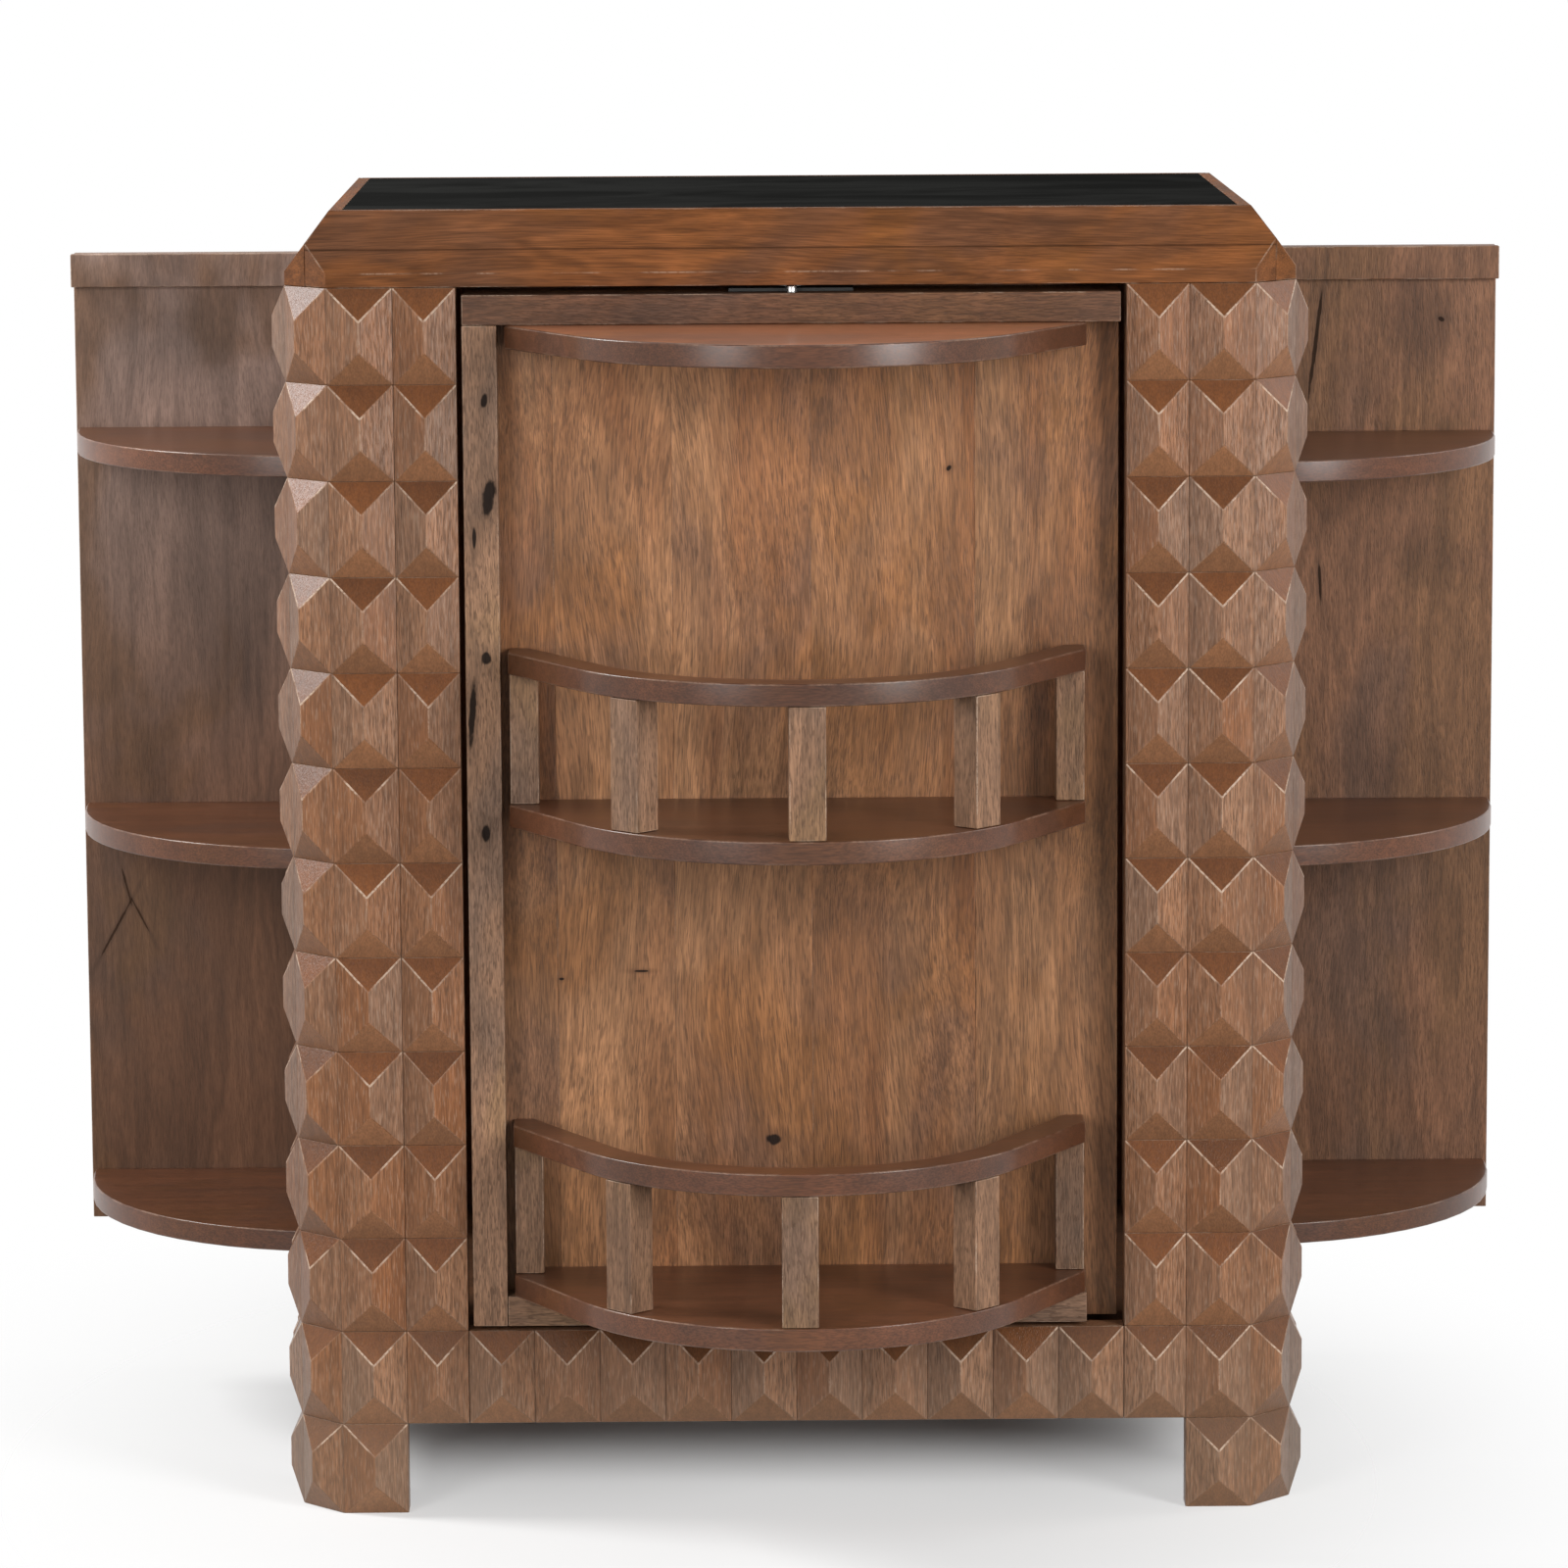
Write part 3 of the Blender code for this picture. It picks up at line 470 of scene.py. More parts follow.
def carved_wood(name, depth=1.0):
    """Make the carved tiles' wood: tone by tile, open flanks, painted shade on ends that face up,
    on sideways faces and in the valleys, painted light on right-facing flanks.
    """
    woods = settings()[2]
    made, n, shader = start_material(name)
    tone, facet, flank, seam = [n.read(label) for label in ("tone", "facet", "flank", "seam")]
    end = n.calc("GREATER_THAN", facet, 0.25)
    up = n.calc("GREATER_THAN", facet, 0.75)
    down = n.calc("SUBTRACT", end, up)
    vector, place = turned_vector(n, "Z", n.line(flank, 0.43, tone))
    x, y, z = n.split(vector)
    vector = n.combine(x, y, n.times(z, n.line(end, 1.2, 1.0)))
    own = n.calc("FRACT", n.line(tone, 3.7, n.times(flank, 0.41)))
    pores = n.line(end, -0.4, n.line(own, 0.40, 0.14))
    grain = n.group("wood_grain", make_grain, {
        "Vector": vector, "Wander": 0.010, "Pores": pores, "Short": 95.0})
    stops = (
        (0.0, woods.warm), (0.25, woods.mid), (0.5, woods.grey), (0.72, woods.mid),
        (1.0, woods.tan))
    base = n.ramp(own, [(stop, scaled(tint, depth)) for stop, tint in stops])
    grey, pore, worn, dust = [
        scaled(tint, depth) for tint in (woods.grey, woods.pore, woods.worn, woods.dust)]
    patch = n.noise(place, (9.0, 9.0, 5.0))
    base = n.blend(n.between(patch, 0.42, 0.62, 0.0, 0.45), base, grey)
    # Ends facing up painted darker, ends facing down near the common brown: painted shade by facing
    for mask, tint, low, high in (
            (up, woods.shaded_end_up, 0.66, 0.94), (down, woods.end_down, 0.86, 1.12)):
        lift = n.between(tone, 0.0, 1.0, low, high)
        base = n.blend(mask, base, n.shade(scaled(tint, depth), lift))
    # Right-facing flanks painted a little lighter, left-facing ones a little darker: painted light
    # from the right
    base = n.shade(base, n.line(flank, 0.06, 0.98))
    # Faces that turn sideways are painted darker: painted shade on the sides of the carving
    base = n.shade(base, n.between(n.read("side"), 0.72, 0.92, 1.0, 0.70))
    keep = n.line(end, -0.35, 1.0)
    for label, low, high in (("Streak", -0.16, 0.15), ("Fine", -0.23, 0.23)):
        vary = n.between(grain[label], 0.32, 0.68, low, high)
        base = n.shade(base, n.line(vary, keep, 1.0))
    base = n.blend(grain["Pore"], base, pore)
    base = n.blend(n.times(grain["Fleck"], n.line(end, -0.14, 0.16)), base, worn)
    # Flanks painted lighter at the ridge and darker towards the valleys: painted shade in the
    # hollows; at the valley line a dark joint, with painted shade in the crease
    base = n.shade(base, n.between(seam, 0.0, 1.0, 1.07, 0.91))
    base = n.blend(n.between(seam, 0.97, 1.03, 0.0, 0.35), base, pore)
    base = n.blend(n.between(n.split(place)[2], 0.20, 0.04, 0.0, 0.24), base, dust)
    finish_wood(n, shader, base, place, grain, 0.78, worn, rough=0.35, bump=0.8, sheen=0.24)
    return made


def board_wood(
        name, tint, pale, along="Z", rough=0.45, pores=0.7, bump=0.35, wear_and_highlight_amount=0.35, knots=(),
        clouds=(), worn=None, sheen=0.28, rings=0.22, wander=0.05, short=130.0, crisp=1.0,
        depth=0.95, cast=None):
    """Make a planed board's wood: broad figure, clouds, dark knots and painted light that grows
    upwards.

    The pale figure is a share of the tint or a colour.
    """
    woods = settings()[2]
    made, n, shader = start_material(name)
    if isinstance(pale, float):
        pale = scaled(tint, pale)
    tone = n.read("tone")
    vector, place = turned_vector(n, along, tone)
    grain = n.group("wood_grain", make_grain, {
        "Vector": vector, "Wander": wander, "Pores": pores, "Short": short})
    base = n.blend(n.between(grain["Figure"], 0.32, 0.68), tint, pale)
    # The cast paints light that grows towards the top
    if cast:
        low, high, upper = cast
        base = n.blend(n.between(n.split(place)[2], low, high, 0.0, 0.75), base, upper)
    level = sum(tint) / 3.0
    dull = tuple(0.62 * c + 0.24 * level for c in tint)
    gold = (1.13 * tint[0], 1.17 * tint[1], 1.01 * tint[2])
    cloud = n.noise(vector, (8.0, 8.0, 4.6), 3.0, 0.55, 0.5)
    glow = n.noise(place, (9.0, 9.0, 5.2), 3.0, 0.55, 0.5)
    base = n.blend(n.between(cloud, 0.48, 0.66, 0.0, 0.62), base, dull)
    base = n.blend(n.between(glow, 0.50, 0.66, 0.0, 0.70), base, gold)
    base = n.shade(base, n.line(tone, 0.30, 0.86))
    base = n.shade(base, n.line(grain["Ring"], -rings, 1.0 + rings / 2))
    mottle = n.noise(vector, (64.0, 64.0, 10.0), 3.0, 0.6, 0.4)
    for value, share in (
            (mottle, 0.6 * rings), (grain["Streak"], 0.12 * crisp), (grain["Fine"], 0.28 * crisp)):
        base = n.shade(base, n.between(value, 0.32, 0.68, 1.0 - share, 1.0 + share))
    base = n.blend(n.times(grain["Pore"], 0.75), base, woods.pore)
    for centre, size, strength in clouds:
        spot = n.group("wood_knot", make_knot, {"Vector": place, "Centre": centre, "Size": size})
        base = n.shade(base, n.line(spot["Halo"], -strength, 1.0))
    cores = []
    for centre, size, lean in knots:
        spot = n.group("wood_knot", make_knot, {
            "Vector": place, "Centre": centre, "Size": size, "Lean": lean})
        base = n.blend(n.times(spot["Halo"], 0.40), base, scaled(tint, 0.40))
        base = n.blend(n.times(spot["Core"], depth), base, KNOT_BLACK)
        cores.append(spot["Core"])
    finish_wood(
        n, shader, base, place, grain, wear_and_highlight_amount, worn or woods.worn, rough, bump, sheen, cores)
    return made


def metal(name, tint, rough, scratch):
    """Make a turned or rolled metal with fine scratches and spots."""
    made, n, shader = start_material(name)
    place = n.place()
    ring = n.noise(place, (60.0, 60.0, 2600.0))
    spot = n.between(n.noise(place, 240.0, 3.0), 0.55, 0.75)
    n.feed(shader, {
        "Base Color": n.blend(n.times(spot, 0.6), tint, scaled(tint, 0.72)), "Metallic": 1.0,
        "Roughness": n.line(ring, scratch, rough - scratch / 2),
        "Normal": n.bump(ring, 0.15, 0.0002)})
    return made


def black_inset(name, tint):
    """Make the top's smooth black inset with faint dust, smears and painted reflection streaks."""
    made, n, shader = start_material(name)
    place = n.place()
    smear_and_reflection = n.noise(place, (5.0, 9.0, 5.0), 3.0, 0.6, 0.8)
    dust = n.between(n.noise(place, 330.0), 0.70, 0.78)
    # Paler streaks in the colour are painted reflection; the same smears vary the roughness
    base = n.blend(n.between(smear_and_reflection, 0.35, 0.65), scaled(tint, 0.80), scaled(tint, 1.35))
    n.feed(shader, {
        "Base Color": n.blend(n.times(dust, 0.25), base, (0.16, 0.15, 0.14)),
        "Roughness": n.between(smear_and_reflection, 0.3, 0.7, 0.26, 0.42), "Specular IOR Level": 0.0})
    return made


# Meshes

def layers(bm):
    """Return the face layers that the finishes read."""
    held = bm.faces.layers.float
    return [held.get(name) or held.new(name) for name in ("worn", "tone", "facet", "flank")]


def bevel(bm, edges, width, segments):
    """Round edges and return the new faces."""
    return bmesh.ops.bevel(
        bm, geom=edges, offset=width, offset_type="OFFSET", segments=segments, profile=0.5,
        affect="EDGES", clamp_overlap=True)["faces"]


def ease_edges(bm, width, segments=2, least=SHARP):
    """Round the outer edges of a closed mesh and mark them for pale rubbing and painted highlight.
    """
    worn = layers(bm)[0]
    sharp = [
        edge for edge in bm.edges
        if edge.is_manifold and edge.is_convex and edge.calc_face_angle() > least]
    for face in bevel(bm, sharp, width, segments):
        face[worn] = 1.0


def join_flat(bm):
    """Join faces that lie in one plane."""
    bmesh.ops.dissolve_limit(bm, angle_limit=FLAT, verts=list(bm.verts), edges=list(bm.edges))


def cad_copy(node):
    """Return a merged copy of a CAD node's mesh with flat faces joined."""
    bm = bmesh.new()
    bm.from_mesh(frame["nodes"][node].data)
    bmesh.ops.remove_doubles(bm, verts=list(bm.verts), dist=MERGE)
    join_flat(bm)
    return bm


def box_bm(low, high):
    """Return the bmesh of a box between two corners."""
    bm = bmesh.new()
    size = [b - a for a, b in zip(low, high)]
    centre = [(a + b) / 2 for a, b in zip(low, high)]
    bmesh.ops.create_cube(
        bm, size=1.0, matrix=Matrix.Translation(centre) @ Matrix.Diagonal((*size, 1.0)))
    return bm


def paint_tone(bm, value):
    """Give every face one tone."""
    tone = layers(bm)[1]
    for face in bm.faces:
        face[tone] = value


def mesh_of(name, bm):
    """Turn a bmesh into a mesh and free it."""
    mesh = bpy.data.meshes.new(name)
    bm.to_mesh(mesh)
    bm.free()
    return mesh


def object_of(name, bm):
    """Return an unlinked object that holds a bmesh."""
    return bpy.data.objects.new(name, mesh_of(name, bm))


def join(bm, other):
    """Add a second bmesh to a first and free it."""
    mesh = mesh_of("joined", other)
    bm.from_mesh(mesh)
    bpy.data.meshes.remove(mesh)


def plain_mesh(thing):
    """Return the evaluated mesh of an object."""
    graph = bpy.context.evaluated_depsgraph_get()
    return bpy.data.meshes.new_from_object(
        thing.evaluated_get(graph), preserve_all_data_layers=True, depsgraph=graph)


def publish(name, mesh, finish, body, nodes):
    """Link a finished piece, shade it and give it its body, slot and nodes."""
    mesh.shade_smooth()
    thing = bpy.data.objects.new(name, mesh)
    bpy.context.scene.collection.objects.link(thing)
    if finish is not None:
        mesh.materials.clear()
        mesh.materials.append(finish)
    level = thing.modifiers.new("even_normals", "WEIGHTED_NORMAL")
    level.weight = 100
    level.keep_sharp = False
    smooth = plain_mesh(thing)
    thing.modifiers.remove(level)
    thing.data = smooth
    smooth.name = name
    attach(thing, body)
    if nodes:
        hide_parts(*nodes)


def publish_bm(name, bm, finish, body, nodes):
    """Turn a bmesh into a finished piece."""
    publish(name, mesh_of(name, bm), finish, body, nodes)


def eased_node(node, width, finish, tone, top_tone=None):
    """Replace a CAD node by a copy with eased edges, marked for pale rubbing and painted highlight;
    its top may have a tone of its own.
    """
    bm = cad_copy(node)
    paint_tone(bm, tone)
    ease_edges(bm, width)
    if top_tone is not None:
        bm.normal_update()
        label = layers(bm)[1]
        for face in bm.faces:
            if face.normal.z > LEVEL:
                face[label] = top_tone
    publish_bm("eased_" + node, bm, finish, body_name(node), [node])


def body_name(node):
    """Return the body that a CAD node belongs to."""
    for name, nodes in frame["record"]["behaviour"]["bodies"].items():
        if node in nodes:
            return name
    raise RuntimeError("no body holds " + node)


def spread(first, last, count):
    """Return count + 1 even steps from first to last."""
    return [first + (last - first) * step / count for step in range(count + 1)]


# Carved boards: each has a carved line and a smooth line, seen from above

def straight_plan(node, columns, axis, sign):
    """Return the two lines of a straight board that faces the given way along X (0) or Y (1)."""
    low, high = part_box(node)
    relief = settings()[0].relief
    face = high[axis] - relief if sign > 0.0 else low[axis] + relief
    back = low[axis] if sign > 0.0 else high[axis]
    steps = spread(low[1 - axis], high[1 - axis], columns)
    return [[(step, flat) if axis else (flat, step) for step in steps] for flat in (face, back)]


def front_leg_plan(sign, carving):
    """Return the two lines of a front leg, from the stile round to the side."""
    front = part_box("front_left_stile")[0][1] + carving.relief
    inner_edge = abs(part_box("front_left_leg")[1][0]) - carving.lap
    corner = inner_edge + carving.lap + carving.tile_width
    side = corner + carving.chamfer
    wall = carving.front_wall
    turn = wall * CORNER
    ys = [front + carving.chamfer + step * carving.tile_width for step in range(3)]
    plan = [(inner_edge, front), (corner, front)] + [(side, y) for y in ys]
    inner = [(inner_edge, front + wall), (corner - turn, front + wall), (side - wall, ys[0] + turn)]
    inner += [(side - wall, y) for y in ys[1:]]
    return [[(sign * x, y) for x, y in line] for line in (plan, inner)]


def rear_leg_plan(sign, carving):
    """Return the two lines of a rear leg, from its side strip to the back."""
    low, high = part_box("rear_right_leg")
    back = high[1] - carving.relief
    corner = abs(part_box("front_left_leg")[1][0]) + carving.tile_width
    side = corner + carving.chamfer
    wall = carving.rear_wall
    turn = wall * CORNER
    edge = back - carving.chamfer
    xs = spread(corner, low[0], 2)
    plan = [(side, low[1]), (side, edge)] + [(x, back) for x in xs]
    inner = [(side - wall, low[1] + carving.rear_bevel), (side - wall, edge - turn)]
    inner += [(corner - turn, back - wall)] + [(x, back - wall) for x in xs[1:]]
    return [[(sign * x, y) for x, y in line] for line in (plan, inner)]


def set_back(plan, inner, depth):
    """Return the carved line moved a little towards the smooth side."""
    moved = []
    for (x, y), (u, v) in zip(plan, inner):
        reach = math.hypot(u - x, v - y)
        moved.append((x + (u - x) * depth / reach, y + (v - y) * depth / reach))
    return moved


def core_board(name, plan, inner, levels, missing):
    """Return the folded board that the tiles sit on, as an object."""
    bm = bmesh.new()
    column_of = bm.verts.layers.int.new("column")
    grid = []
    for column, (x, y) in enumerate(plan):
        line = [bm.verts.new((x, y, z)) for z in levels]
        for vert in line:
            vert[column_of] = column
        grid.append(line)
    cells = []
    for column, (near, far) in enumerate(zip(grid, grid[1:])):
        for row in range(len(levels) - 1):
            if (column, row) not in missing:
                cells.append(bm.faces.new((near[row], far[row], far[row + 1], near[row + 1])))
    bmesh.ops.delete(bm, geom=[v for v in bm.verts if not v.link_faces], context="VERTS")
    grown = bmesh.ops.extrude_face_region(bm, geom=cells)
    for vert in grown["geom"]:
        if isinstance(vert, bmesh.types.BMVert):
            vert.co.x, vert.co.y = inner[vert[column_of]]
    bmesh.ops.recalc_face_normals(bm, faces=list(bm.faces))
    join_flat(bm)
    paint_tone(bm, CORE_TONE)
    ease_edges(bm, CORE_EASE, 1, CORE_SHARP)
    return object_of(name, bm)


def tile_object(carving):
    """Return one raised tile, its ridge along Z and its face towards -Y."""
    half_w, half_h = carving.tile_width / 2, carving.row_height / 2
    bm = bmesh.new()
    corners = ((-half_w, -half_h), (half_w, -half_h), (half_w, half_h), (-half_w, half_h))
    base, rim = [
        [bm.verts.new((x, y, z)) for x, z in corners] for y in (carving.skirt, 0.0)]
    low = bm.verts.new((0.0, -carving.relief, half_w - half_h))
    top = bm.verts.new((0.0, -carving.relief, half_h - half_w))
    bm.faces.new(reversed(base))
    for step in range(4):
        bm.faces.new((base[step], base[step - 3], rim[step - 3], rim[step]))
    bm.faces.new((rim[0], rim[1], low))
    bm.faces.new((rim[1], rim[2], top, low))
    bm.faces.new((rim[2], rim[3], top))
    bm.faces.new((rim[3], rim[0], low, top))
    bmesh.ops.recalc_face_normals(bm, faces=list(bm.faces))
    worn, _, facet, flank = layers(bm)
    for face in bm.faces:
        if face.normal.y < -0.3 and abs(face.normal.z) > 0.3:
            face[facet] = 1.0 if face.normal.z > 0.0 else 0.5
        face[flank] = 1.0 if face.normal.x > 0.1 else 0.0
    # Pale edge colour on the hips is rubbing and painted highlight: most on the upper hips, less on
    # the ridge, least below
    hips = [edge for edge in bm.edges if low in edge.verts or top in edge.verts]
    for face in bevel(bm, hips, carving.ease, 2):
        middle = face.calc_center_median()
        if middle.z > half_h - half_w - carving.ease:
            face[worn] = 1.0
        else:
            face[worn] = 0.35 if abs(middle.x) < carving.ease else 0.06
        face[facet] = 0.0
    rim_edges = [
        edge for edge in bm.edges
        if edge.is_convex and edge.calc_face_angle(0.0) > RIM_SHARP
        and all(abs(vert.co.y) < MERGE for vert in edge.verts)]
    # Rim edges that face up get more painted highlight than the others
    for face in bevel(bm, rim_edges, RIM_EASE, 1):
        face[worn] = 0.45 if face.normal.z > 0.3 else 0.1
        face[facet] = 0.0
    # Share of the depth from the ridge down to the tile's edge, read to paint shade into the
    # valleys
    seam = bm.verts.layers.float.new("seam")
    for vert in bm.verts:
        vert[seam] = max(0.0, 1.0 + vert.co.y / carving.relief)
    # A tone of its own would hide the one that each instance is given.
    bm.faces.layers.float.remove(bm.faces.layers.float["tone"])
    return object_of("raised_tile", bm)


def make_tile_tree(name):
    """Make the geometry nodes that set tiles on the points of a carved board."""
    n = Nodes(bpy.data.node_groups.new(name, "GeometryNodeTree"))
    for label, kind in (
            ("Points", "Geometry"), ("Tile", "Object"), ("Board", "Object"),
            ("Finish", "Material"), ("Seed", "Int")):
        n.socket(label, "INPUT", kind)
    n.socket("Carving", "OUTPUT", "Geometry")
    entry = n.put("NodeGroupInput").outputs
    tile, board = [
        n.put("GeometryNodeObjectInfo", {"Object": entry[label]}).outputs["Geometry"]
        for label in ("Tile", "Board")]
    turn, size = [
        n.put(
            "GeometryNodeInputNamedAttribute", {"Name": label},
            data_type="FLOAT_VECTOR").outputs[0]
        for label in ("turn", "tile_size")]
    turn = n.put("FunctionNodeEulerToRotation", {0: turn}).outputs[0]
    placed = n.put("GeometryNodeInstanceOnPoints", {
        "Points": entry["Points"], "Instance": tile, "Rotation": turn, "Scale": size})
    chance = n.put("FunctionNodeRandomValue", {"Seed": entry["Seed"]}, data_type="FLOAT")
    tone = next(out for out in chance.outputs if out.enabled)
    toned = n.put(
        "GeometryNodeStoreNamedAttribute", {"Geometry": placed.outputs[0], "Name": "tone"},
        data_type="FLOAT", domain="INSTANCE")
    n.tree.links.new(tone, next(s for s in toned.inputs if s.name == "Value" and s.enabled))
    solid = n.put("GeometryNodeRealizeInstances", {"Geometry": toned.outputs[0]})
    joined = n.put("GeometryNodeJoinGeometry", {0: solid.outputs[0]})
    n.feed(joined, {0: board})
    faced = n.put("GeometryNodeSetMaterial", {
        "Geometry": joined.outputs[0], "Material": entry["Finish"]})
    n.put("NodeGroupOutput", {0: faced.outputs[0]})
    return n.tree


def set_inputs(modifier, values):
    """Set geometry nodes inputs by their sockets' identifiers."""
    for item in modifier.node_group.interface.items_tree:
        if item.name in values:
            modifier[item.identifier] = values.pop(item.name)
    if values:
        raise RuntimeError("no inputs called " + ", ".join(values))


def tile_points(name, plan, inner, levels, missing, plain, carving, draw):
    """Return the points of a carved board, one for each tile, with turn and size."""
    places, turns, sizes = [], [], []
    for column in range(len(plan) - 1):
        if column in plain:
            continue
        (ax, ay), (bx, by) = plan[column], plan[column + 1]
        along = Vector((bx - ax, by - ay))
        middle = Vector(((ax + bx) / 2, (ay + by) / 2))
        inside = Vector(inner[column]) + Vector(inner[column + 1])
        out = Vector((along.y, -along.x)).normalized()
        if out.dot(middle * 2 - inside) < 0.0:
            out = -out
        angle = math.atan2(out.y, out.x) + math.pi / 2
        for row, (low, high) in enumerate(zip(levels, levels[1:])):
            if (column, row) in missing:
                continue
            tall = high - low
            places.append((middle.x, middle.y, low + tall / 2))
            turns.append((0.0, 0.0, angle))
            sizes.append((
                (along.length - carving.gap) / carving.tile_width, draw.uniform(*TILE_HEIGHTS),
                (tall - carving.gap) / carving.row_height))
    mesh = bpy.data.meshes.new(name)
    mesh.from_pydata(places, [], [])
    for label, rows in (("turn", turns), ("tile_size", sizes)):
        layer = mesh.attributes.new(label, "FLOAT_VECTOR", "POINT")
        layer.data.foreach_set("vector", [number for row in rows for number in row])
    return bpy.data.objects.new(name, mesh)


def carve(node, plan, inner, levels, finish, draw, slot="carved_wood", missing=(), plain=()):
    """Replace a carved CAD node by its core board with raised tiles on it."""
    carving = settings()[0]
    tile = bpy.data.objects.get("raised_tile") or tile_object(carving)
    core = core_board("core_" + node, set_back(plan, inner, carving.skirt), inner, levels, missing)
    points = tile_points("points_" + node, plan, inner, levels, missing, plain, carving, draw)
    bpy.context.scene.collection.objects.link(points)
    build = points.modifiers.new("tiles", "NODES")
    build.node_group = shared("carved_tiles", make_tile_tree)
    set_inputs(build, {
        "Tile": tile, "Board": core, "Finish": finish, "Seed": draw.randrange(SEEDS)})
    mesh = plain_mesh(points)
    # How far each face turns sideways, read by the carved wood to paint shade on such faces
    side = mesh.attributes.new("side", "FLOAT", "FACE")
    side.data.foreach_set("value", [abs(face.normal.x) for face in mesh.polygons])
    bpy.data.objects.remove(points)
    bpy.data.objects.remove(core)
    if len(mesh.polygons) < len(plan) * len(levels):
        raise RuntimeError("the tiles of " + node + " were not made")
    publish("carved_" + node, mesh, None, body_name(node), [node])


# Pieces

class CABINET_OT_posts(Operator):
    """Carve the legs, the stiles and the bottom rails of the carcass"""

    bl_idname = "cabinet.posts"
    bl_label = "Carved posts and rails"

    def execute(self, context):
        carving = settings()[0]
        finish = carved_wood("carved_tile_wood")
        draw = random.Random(carving.seed)
        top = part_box("front_left_leg")[1][2]
        rows = [0.0] + spread(carving.foot_height, top, LEG_ROWS)
        for side, sign in SIDES:
            lines = front_leg_plan(sign, carving)
            carve(f"front_{side}_leg", *lines, rows, finish, draw, missing=FOOT_GAP)
            lines = rear_leg_plan(sign, carving)
            carve(f"rear_{side}_leg", *lines, rows, finish, draw, missing=FOOT_GAP, plain={0})
            node = f"front_{side}_stile"
            lines = straight_plan(node, 1, 1, -1.0)
            for line in lines:
                outer = max(range(2), key=lambda step: abs(line[step][0]))
                line[outer] = (line[outer][0] + sign * carving.lap, line[outer][1])
            carve(node, *lines, rows[1:], finish, draw)
            node = f"{side}_bottom_rail"
            carve(node, *straight_plan(node, SIDE_COLUMNS, 0, sign), rows[1:3], finish, draw)
        for node, way in (("front_bottom_rail", -1.0), ("rear_bottom_rail", 1.0)):
            carve(node, *straight_plan(node, FRONT_COLUMNS, 1, way), rows[1:3], finish, draw)
        return {"FINISHED"}


class CABINET_OT_wings(Operator):
    """Dress the wings: carved outer face, plain inner face, pivot stile and top rail"""

    bl_idname = "cabinet.wings"
    bl_label = "Wings"

    def execute(self, context):
        carving, edges, woods, _ = settings()
        draw = random.Random(carving.seed + 1)
        carved = carved_wood("wing_tile_wood", 0.86)
        tint = woods.wing
        # Left: warm below, a painted greyish sheen above, a crack low down; right: painted light
        # growing upwards, painted shade low down, a dark vein beside the post
        finishes = {
            "left": board_wood(
                "left_wing_board_wood", tint, 1.35, rough=0.48, pores=0.25, bump=0.3,
                wear_and_highlight_amount=0.4, knots=marks(LEFT_KNOTS), clouds=marks(LEFT_CLOUDS), wander=0.06,
                crisp=0.5, depth=0.55, cast=(0.42, 0.94, woods.wing_upper_sheen)),
            "right": board_wood(
                "right_wing_board_wood", tint, 1.45, rough=0.48, pores=0.45, bump=0.4,
                wear_and_highlight_amount=0.4, knots=marks(RIGHT_KNOTS), clouds=marks(RIGHT_CLOUDS), wander=0.04,
                crisp=0.85, depth=0.8, cast=(0.20, 0.60, scaled(tint, 1.3)))}
        for side, _ in SIDES:
            node = f"{side}_wing_panel"
            low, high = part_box(node)
            plan, inner = straight_plan(node, SIDE_COLUMNS, 1, 1.0)
            inner = [(x, y + LINING) for x, y in inner]
            carve(node, plan, inner, spread(low[2], high[2], PANEL_ROWS), carved, draw, "wing_wood")
            bm = box_bm(low, (high[0], low[1] + LINING, high[2]))
            paint_tone(bm, draw.random())
            ease_edges(bm, edges.plank)
            publish_bm(f"{side}_wing_lining", bm, finishes[side], f"{side}_wing", [])
            for part in ("top_rail", "pivot_stile"):
                eased_node(
                    f"{side}_wing_{part}", edges.frame, finishes[side], draw.random())
        return {"FINISHED"}


class CABINET_OT_revolving_panel(Operator):
    """Dress the revolving board: planks, frame and the carved reverse"""

    bl_idname = "cabinet.revolving_panel"
    bl_label = "Revolving board and frame"

    def execute(self, context):
        carving, edges, woods, _ = settings()
        draw = random.Random(carving.seed + 2)
        low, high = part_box("revolving_board")
        planks_wood = board_wood(
            "plank_wood", woods.plank, woods.plank_pale, rough=0.44, pores=0.6,
            bump=0.4, wear_and_highlight_amount=0.2, knots=marks(PLANK_KNOTS, low[1]),
            clouds=marks(PLANK_CLOUDS, low[1]), wander=0.08, short=70.0)
        bm = bmesh.new()
        cuts = (low[0], *PLANK_JOINTS, high[0])
        for first, last, tone in zip(cuts, cuts[1:], PLANK_TONES):
            plank = box_bm((first, low[1], low[2]), (last, high[1], high[2]))
            paint_tone(plank, tone)
            ease_edges(plank, edges.plank * PLANK_SHARE, 1)
            join(bm, plank)
        publish_bm(
            "planked_board", bm, planks_wood, "revolving_unit", ["revolving_board"])
        node = "revolving_carved_face"
        carve(
            node, *straight_plan(node, FRONT_COLUMNS, 1, 1.0), spread(low[2], high[2], PANEL_ROWS),
            carved_wood("reverse_tile_wood"), draw)
        spots = marks(STILE_KNOTS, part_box("revolving_stile")[0][1])
        for node, name, tint, pale, along, knots, tone in (
                ("stile", "upright", woods.raw, 1.3, "Z", spots, 0.65),
                ("top_rail", "top", woods.rail, 1.25, "X", (), 0.4),
                ("bottom_rail", "level", woods.raw, 1.3, "X", (), 0.3)):
            finish = board_wood(
                f"frame_{name}_wood", tint, pale, along, wear_and_highlight_amount=0.3, knots=knots,
                wander=0.03, **FRAME_LOOK)
            eased_node("revolving_" + node, edges.frame, finish, tone)
        return {"FINISHED"}


